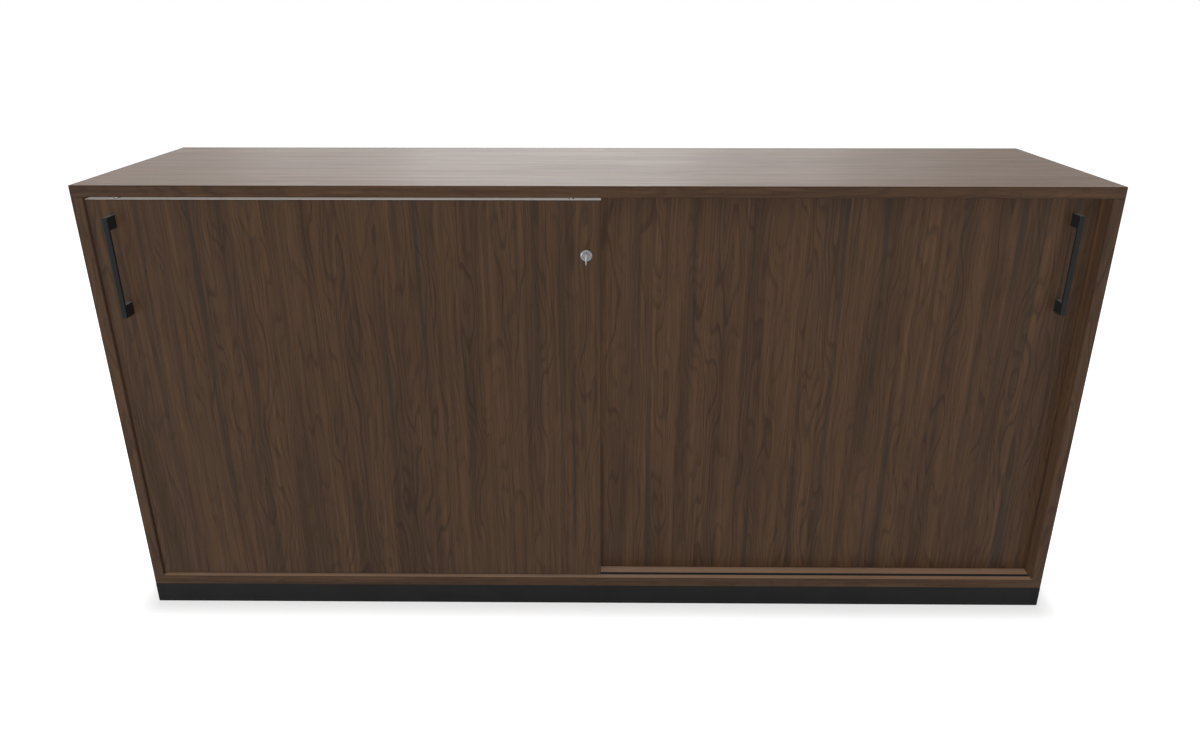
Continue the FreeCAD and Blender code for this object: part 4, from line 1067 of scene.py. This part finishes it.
@dataclass
class Door:
    """A sliding door with its handle screws, rollers and sprung guides."""

    side: str
    shift: Triple
    left: float
    track_y: float
    handle_x: float
    back_y: float
    tone: float
    ring: float = 0.0105
    roller_inset: float = 60.0
    guide_inset: float = 45.0
    width: float = 789.0
    wheel_level: float = 62.3
    screw_levels: tuple[float, float] = (701.4, 561.4)

    def build(self, walnut: Walnut, parts: Hardware) -> None:
        """Dresses the panel and fits what runs with it.

        Args:
            walnut: the laminate.
            parts: the models of the hardware.
        """
        panel, body = self.side + "_door_panel", self.side + "_door"
        # The upper edge of each door has a painted highlight.
        board = Board(Grain.UPRIGHT_FRONT, self.shift, self.tone, self.ring, painted_top_highlight=True)
        dress(panel, walnut.material(panel, board))
        LOG.info("board %s", panel)
        places = {f"{self.side}_handle_screw_{number}": ((self.handle_x, self.back_y, level), FACING_BACK)
                  for number, level in enumerate(self.screw_levels, 1)}
        BENCH.fit_set(parts.handle_screw(), self.side + "_handle_screw_pair", places, Finish.PLATED, body,
                      self.side + "_handle_screws")
        for hand, edge, inwards in (("left", self.left, 1), ("right", self.left + self.width, -1)):
            self.running_gear(f"{self.side}_{hand}", body, edge, inwards, parts)

    def running_gear(self, name: str, body: str, edge: float, inwards: int, parts: Hardware) -> None:
        """Fits the wheel and the sprung guide at one end of the door.

        Args:
            name: the end's name.
            body: the door's body.
            edge: where the door ends, in millimetres.
            inwards: 1 where the door goes on to the right, and -1 where it goes on to the left.
            parts: the models of the hardware.
        """
        wheel_x, x = edge + inwards * self.roller_inset, edge + inwards * self.guide_inset
        wheel = BENCH.place(parts.wheel(), (wheel_x, self.track_y, self.wheel_level), FACING_FRONT)
        wheel.name = name + "_wheel_turned"
        BENCH.fit(wheel, Finish.NYLON, name + "_wheel", name + "_wheel")
        pin = BENCH.place(parts.guide_pin(), (x, self.track_y, 0))
        pin.name = name + "_guide_pin_turned"
        BENCH.fit(pin, Finish.NYLON, name + "_guide_pin", name + "_guide_pin")
        spring = BENCH.place(parts.guide_spring(), (x, self.track_y, 0))
        spring.name = name + "_guide_spring_wound"
        BENCH.fit(spring, Finish.SPRING, body, name + "_guide_spring")
        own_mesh(spring)


@dataclass
class Lock:
    """The cylinder lock in the front door, its key, and the keeper's screws on the rear door."""

    axis: Triple = (-14.5, -195.7, 648.4)
    core_back: float = -21.7
    keeper_face: float = -169.7
    keeper_screw_inset: float = 6.0
    housing: tuple = ((5.05, -18.0), (8.2, -18.0), (8.2, 0.0), (9.5, 0.0), (9.5, 2.0), (9.2, 2.6), (7.5, 4.0),
                      (5.5, 4.0), (5.05, 3.7))
    core: tuple = ((5.0, -19.7), (5.0, 3.5), (4.7, 3.8))
    nut: tuple = ((11.4, -17.4), (12.12, -17.0), (12.12, -14.0))
    cam_screw: tuple = ((1.3, -5.5), (1.6, -5.1), (1.6, 0.0), (4.0, 0.0), (4.0, 0.9), (3.3, 1.45), (1.4, 1.6))
    keeper_screw: tuple = ((1.2, -12.0), (1.6, -11.4), (1.6, 0.0), (3.0, 0.0), (3.0, 0.8), (2.4, 1.45),
                           (1.1, 1.6))
    bow: tuple = ((10.1, -1.1), (10.5, -0.7), (10.5, 0.7), (10.1, 1.1), (8.3, 1.1), (8.0, 0.8))
    grooves: tuple = ((-1.2, -0.49), (0.49, 1.2))
    notches: tuple = (-6.7, -2.7)

    def build(self) -> None:
        """Makes and fits each piece of the lock."""
        housing = BENCH.bore(BENCH.turned("lock_housing", self.housing, 72, 0.12), 5.05, -19.0, 5.0, 72)
        self.fit(housing, "lock_housing_turned", Finish.NICKEL, "front_door", "lock_housing")
        core = BENCH.turned("lock_core", self.core, 56, 0.08)
        square = BENCH.slab("square", (-3.0, -3.0, self.core_back), (3.0, 3.0, -19.5), 0.2)
        core = BENCH.joined("lock_core", [core, square])
        BENCH.cut(core, BENCH.slab("keyway", (-1.0, -3.6, -12.7), (1.0, 3.6, 5.0), 0.0))
        self.fit(core, "lock_core_turned", Finish.NICKEL, "lock_core", "lock_core")
        self.fit(self.key(), "key_cut", Finish.KEY_STEEL, "key", "key")
        nut = BENCH.place(BENCH.turned("lock_nut", self.nut, 6, 0.15), ORIGIN, (0, 0, 30))
        BENCH.bore(nut, 8.35, -18.0, -13.0, 48)
        self.fit(nut, "lock_nut_cut", Finish.PLATED, "front_door", "lock_nut")
        screw = BENCH.cross(BENCH.turned("lock_cam_screw", self.cam_screw, 40, 0.1), 1.6, 4.0, 0.9, 1.3)
        BENCH.place(screw, (0, 0, self.core_back), (180, 0, 0))
        self.fit(screw, "lock_cam_screw_turned", Finish.PLATED, "lock_core", "lock_cam_screw")
        self.keeper_screws()

    def keeper_screws(self) -> None:
        """Makes the two screws that hold the keeper on the rear door."""
        screw = BENCH.cross(BENCH.turned("keeper_screw", self.keeper_screw, 36, 0.1), 1.6, 3.2, 0.75, 1.1)
        low, high = (corner.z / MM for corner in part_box("lock_keeper"))
        middle = sum(corner.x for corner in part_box("keeper_screws")) / 2 / MM
        rows = (("lower", low + self.keeper_screw_inset), ("upper", high - self.keeper_screw_inset))
        places = {f"{row}_keeper_screw": ((middle, self.keeper_face, level), FACING_FRONT)
                  for row, level in rows}
        BENCH.fit_set(screw, "keeper_screw_pair", places, Finish.PLATED, "rear_door", "keeper_screws")

    def fit(self, piece: Piece, name: str, finish: Finish, body: str, node: str) -> None:
        """Sets a piece of the lock on its axis.

        Args:
            piece: the piece, with its front upwards.
            name: its name.
            finish: its finish.
            body: the body that carries it.
            node: the node that it stands for.
        """
        BENCH.place(piece, self.axis, FACING_FRONT)
        piece.name = name
        BENCH.fit(piece, finish, body, node)

    def key(self) -> Piece:
        """A flat key: a round bow with a sunk face and a hole for a ring, and a grooved blade with two cuts.

        Returns:
            The key.
        """
        bow = BENCH.turned("key", self.bow, 72, 0.1)
        BENCH.cut(bow, BENCH.turned("face", ((8.0, -2.0), (8.3, -0.8)), 72, 0.0))
        BENCH.place(bow, (0, 0, 20.0), SIDEWAYS_RIGHT)
        hole = BENCH.turned("ring_hole", ((2.5, -3.0), (2.5, 3.0)), 40, 0.0)
        BENCH.cut(bow, BENCH.place(hole, (0, 0, 25.5), SIDEWAYS_RIGHT))
        blade = BENCH.slab("blade", (-0.9, -3.5, -12.2), (0.9, 3.5, 12.5), 0.15)
        for sign, (low, high) in zip((-1, 1), self.grooves):
            BENCH.cut(blade, BENCH.slab("groove", (low, -0.8, -13.0), (high, 0.6, 9.0), 0.0))
            tip = BENCH.slab("tip", (-2.0, -3.0, -3.0), (2.0, 3.0, 3.0), 0.0)
            BENCH.cut(blade, BENCH.place(tip, (0, 5.2 * sign, -13.2), (-38 * sign, 0, 0)))
        for height in self.notches:
            notch = BENCH.slab("notch", (-2.0, -1.1, -1.1), (2.0, 1.1, 1.1), 0.0)
            BENCH.cut(blade, BENCH.place(notch, (0, 3.5, height), (45, 0, 0)))
        return BENCH.combine(bow, blade, "UNION")


def dress_other_nodes() -> None:
    """Puts the small pieces' finishes on the CAD nodes that still have the plain materials of their slots."""
    plinth_end = PLINTH_END.material("plinth_end_finish")
    for side in ("left", "right"):
        dress(side + "_plinth_rail", plinth_end)
    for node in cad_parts.values():
        for slot in node.material_slots:
            if slot.material and slot.material.name in FINISHES:
                slot.material = FINISHES[slot.material.name]


def main() -> None:
    """Builds and dresses each part of the cabinet in turn."""
    logging.basicConfig(level=logging.INFO, format="%(message)s")
    Studio().build()
    walnut, hardware = Walnut(), Hardware()
    Carcass().build(walnut)
    Door("front", (0.42, 0.35, 0.1), -781.0, -186.7, -744.0, -177.7, 0.93).build(walnut, hardware)
    Door("rear", (2.85, 1.45, 1.1), -8.0, -160.7, 744.0, -151.7, 1.0).build(walnut, hardware)
    Lock().build()
    Feet().build()
    dress_other_nodes()


if __name__ == "__main__":
    main()
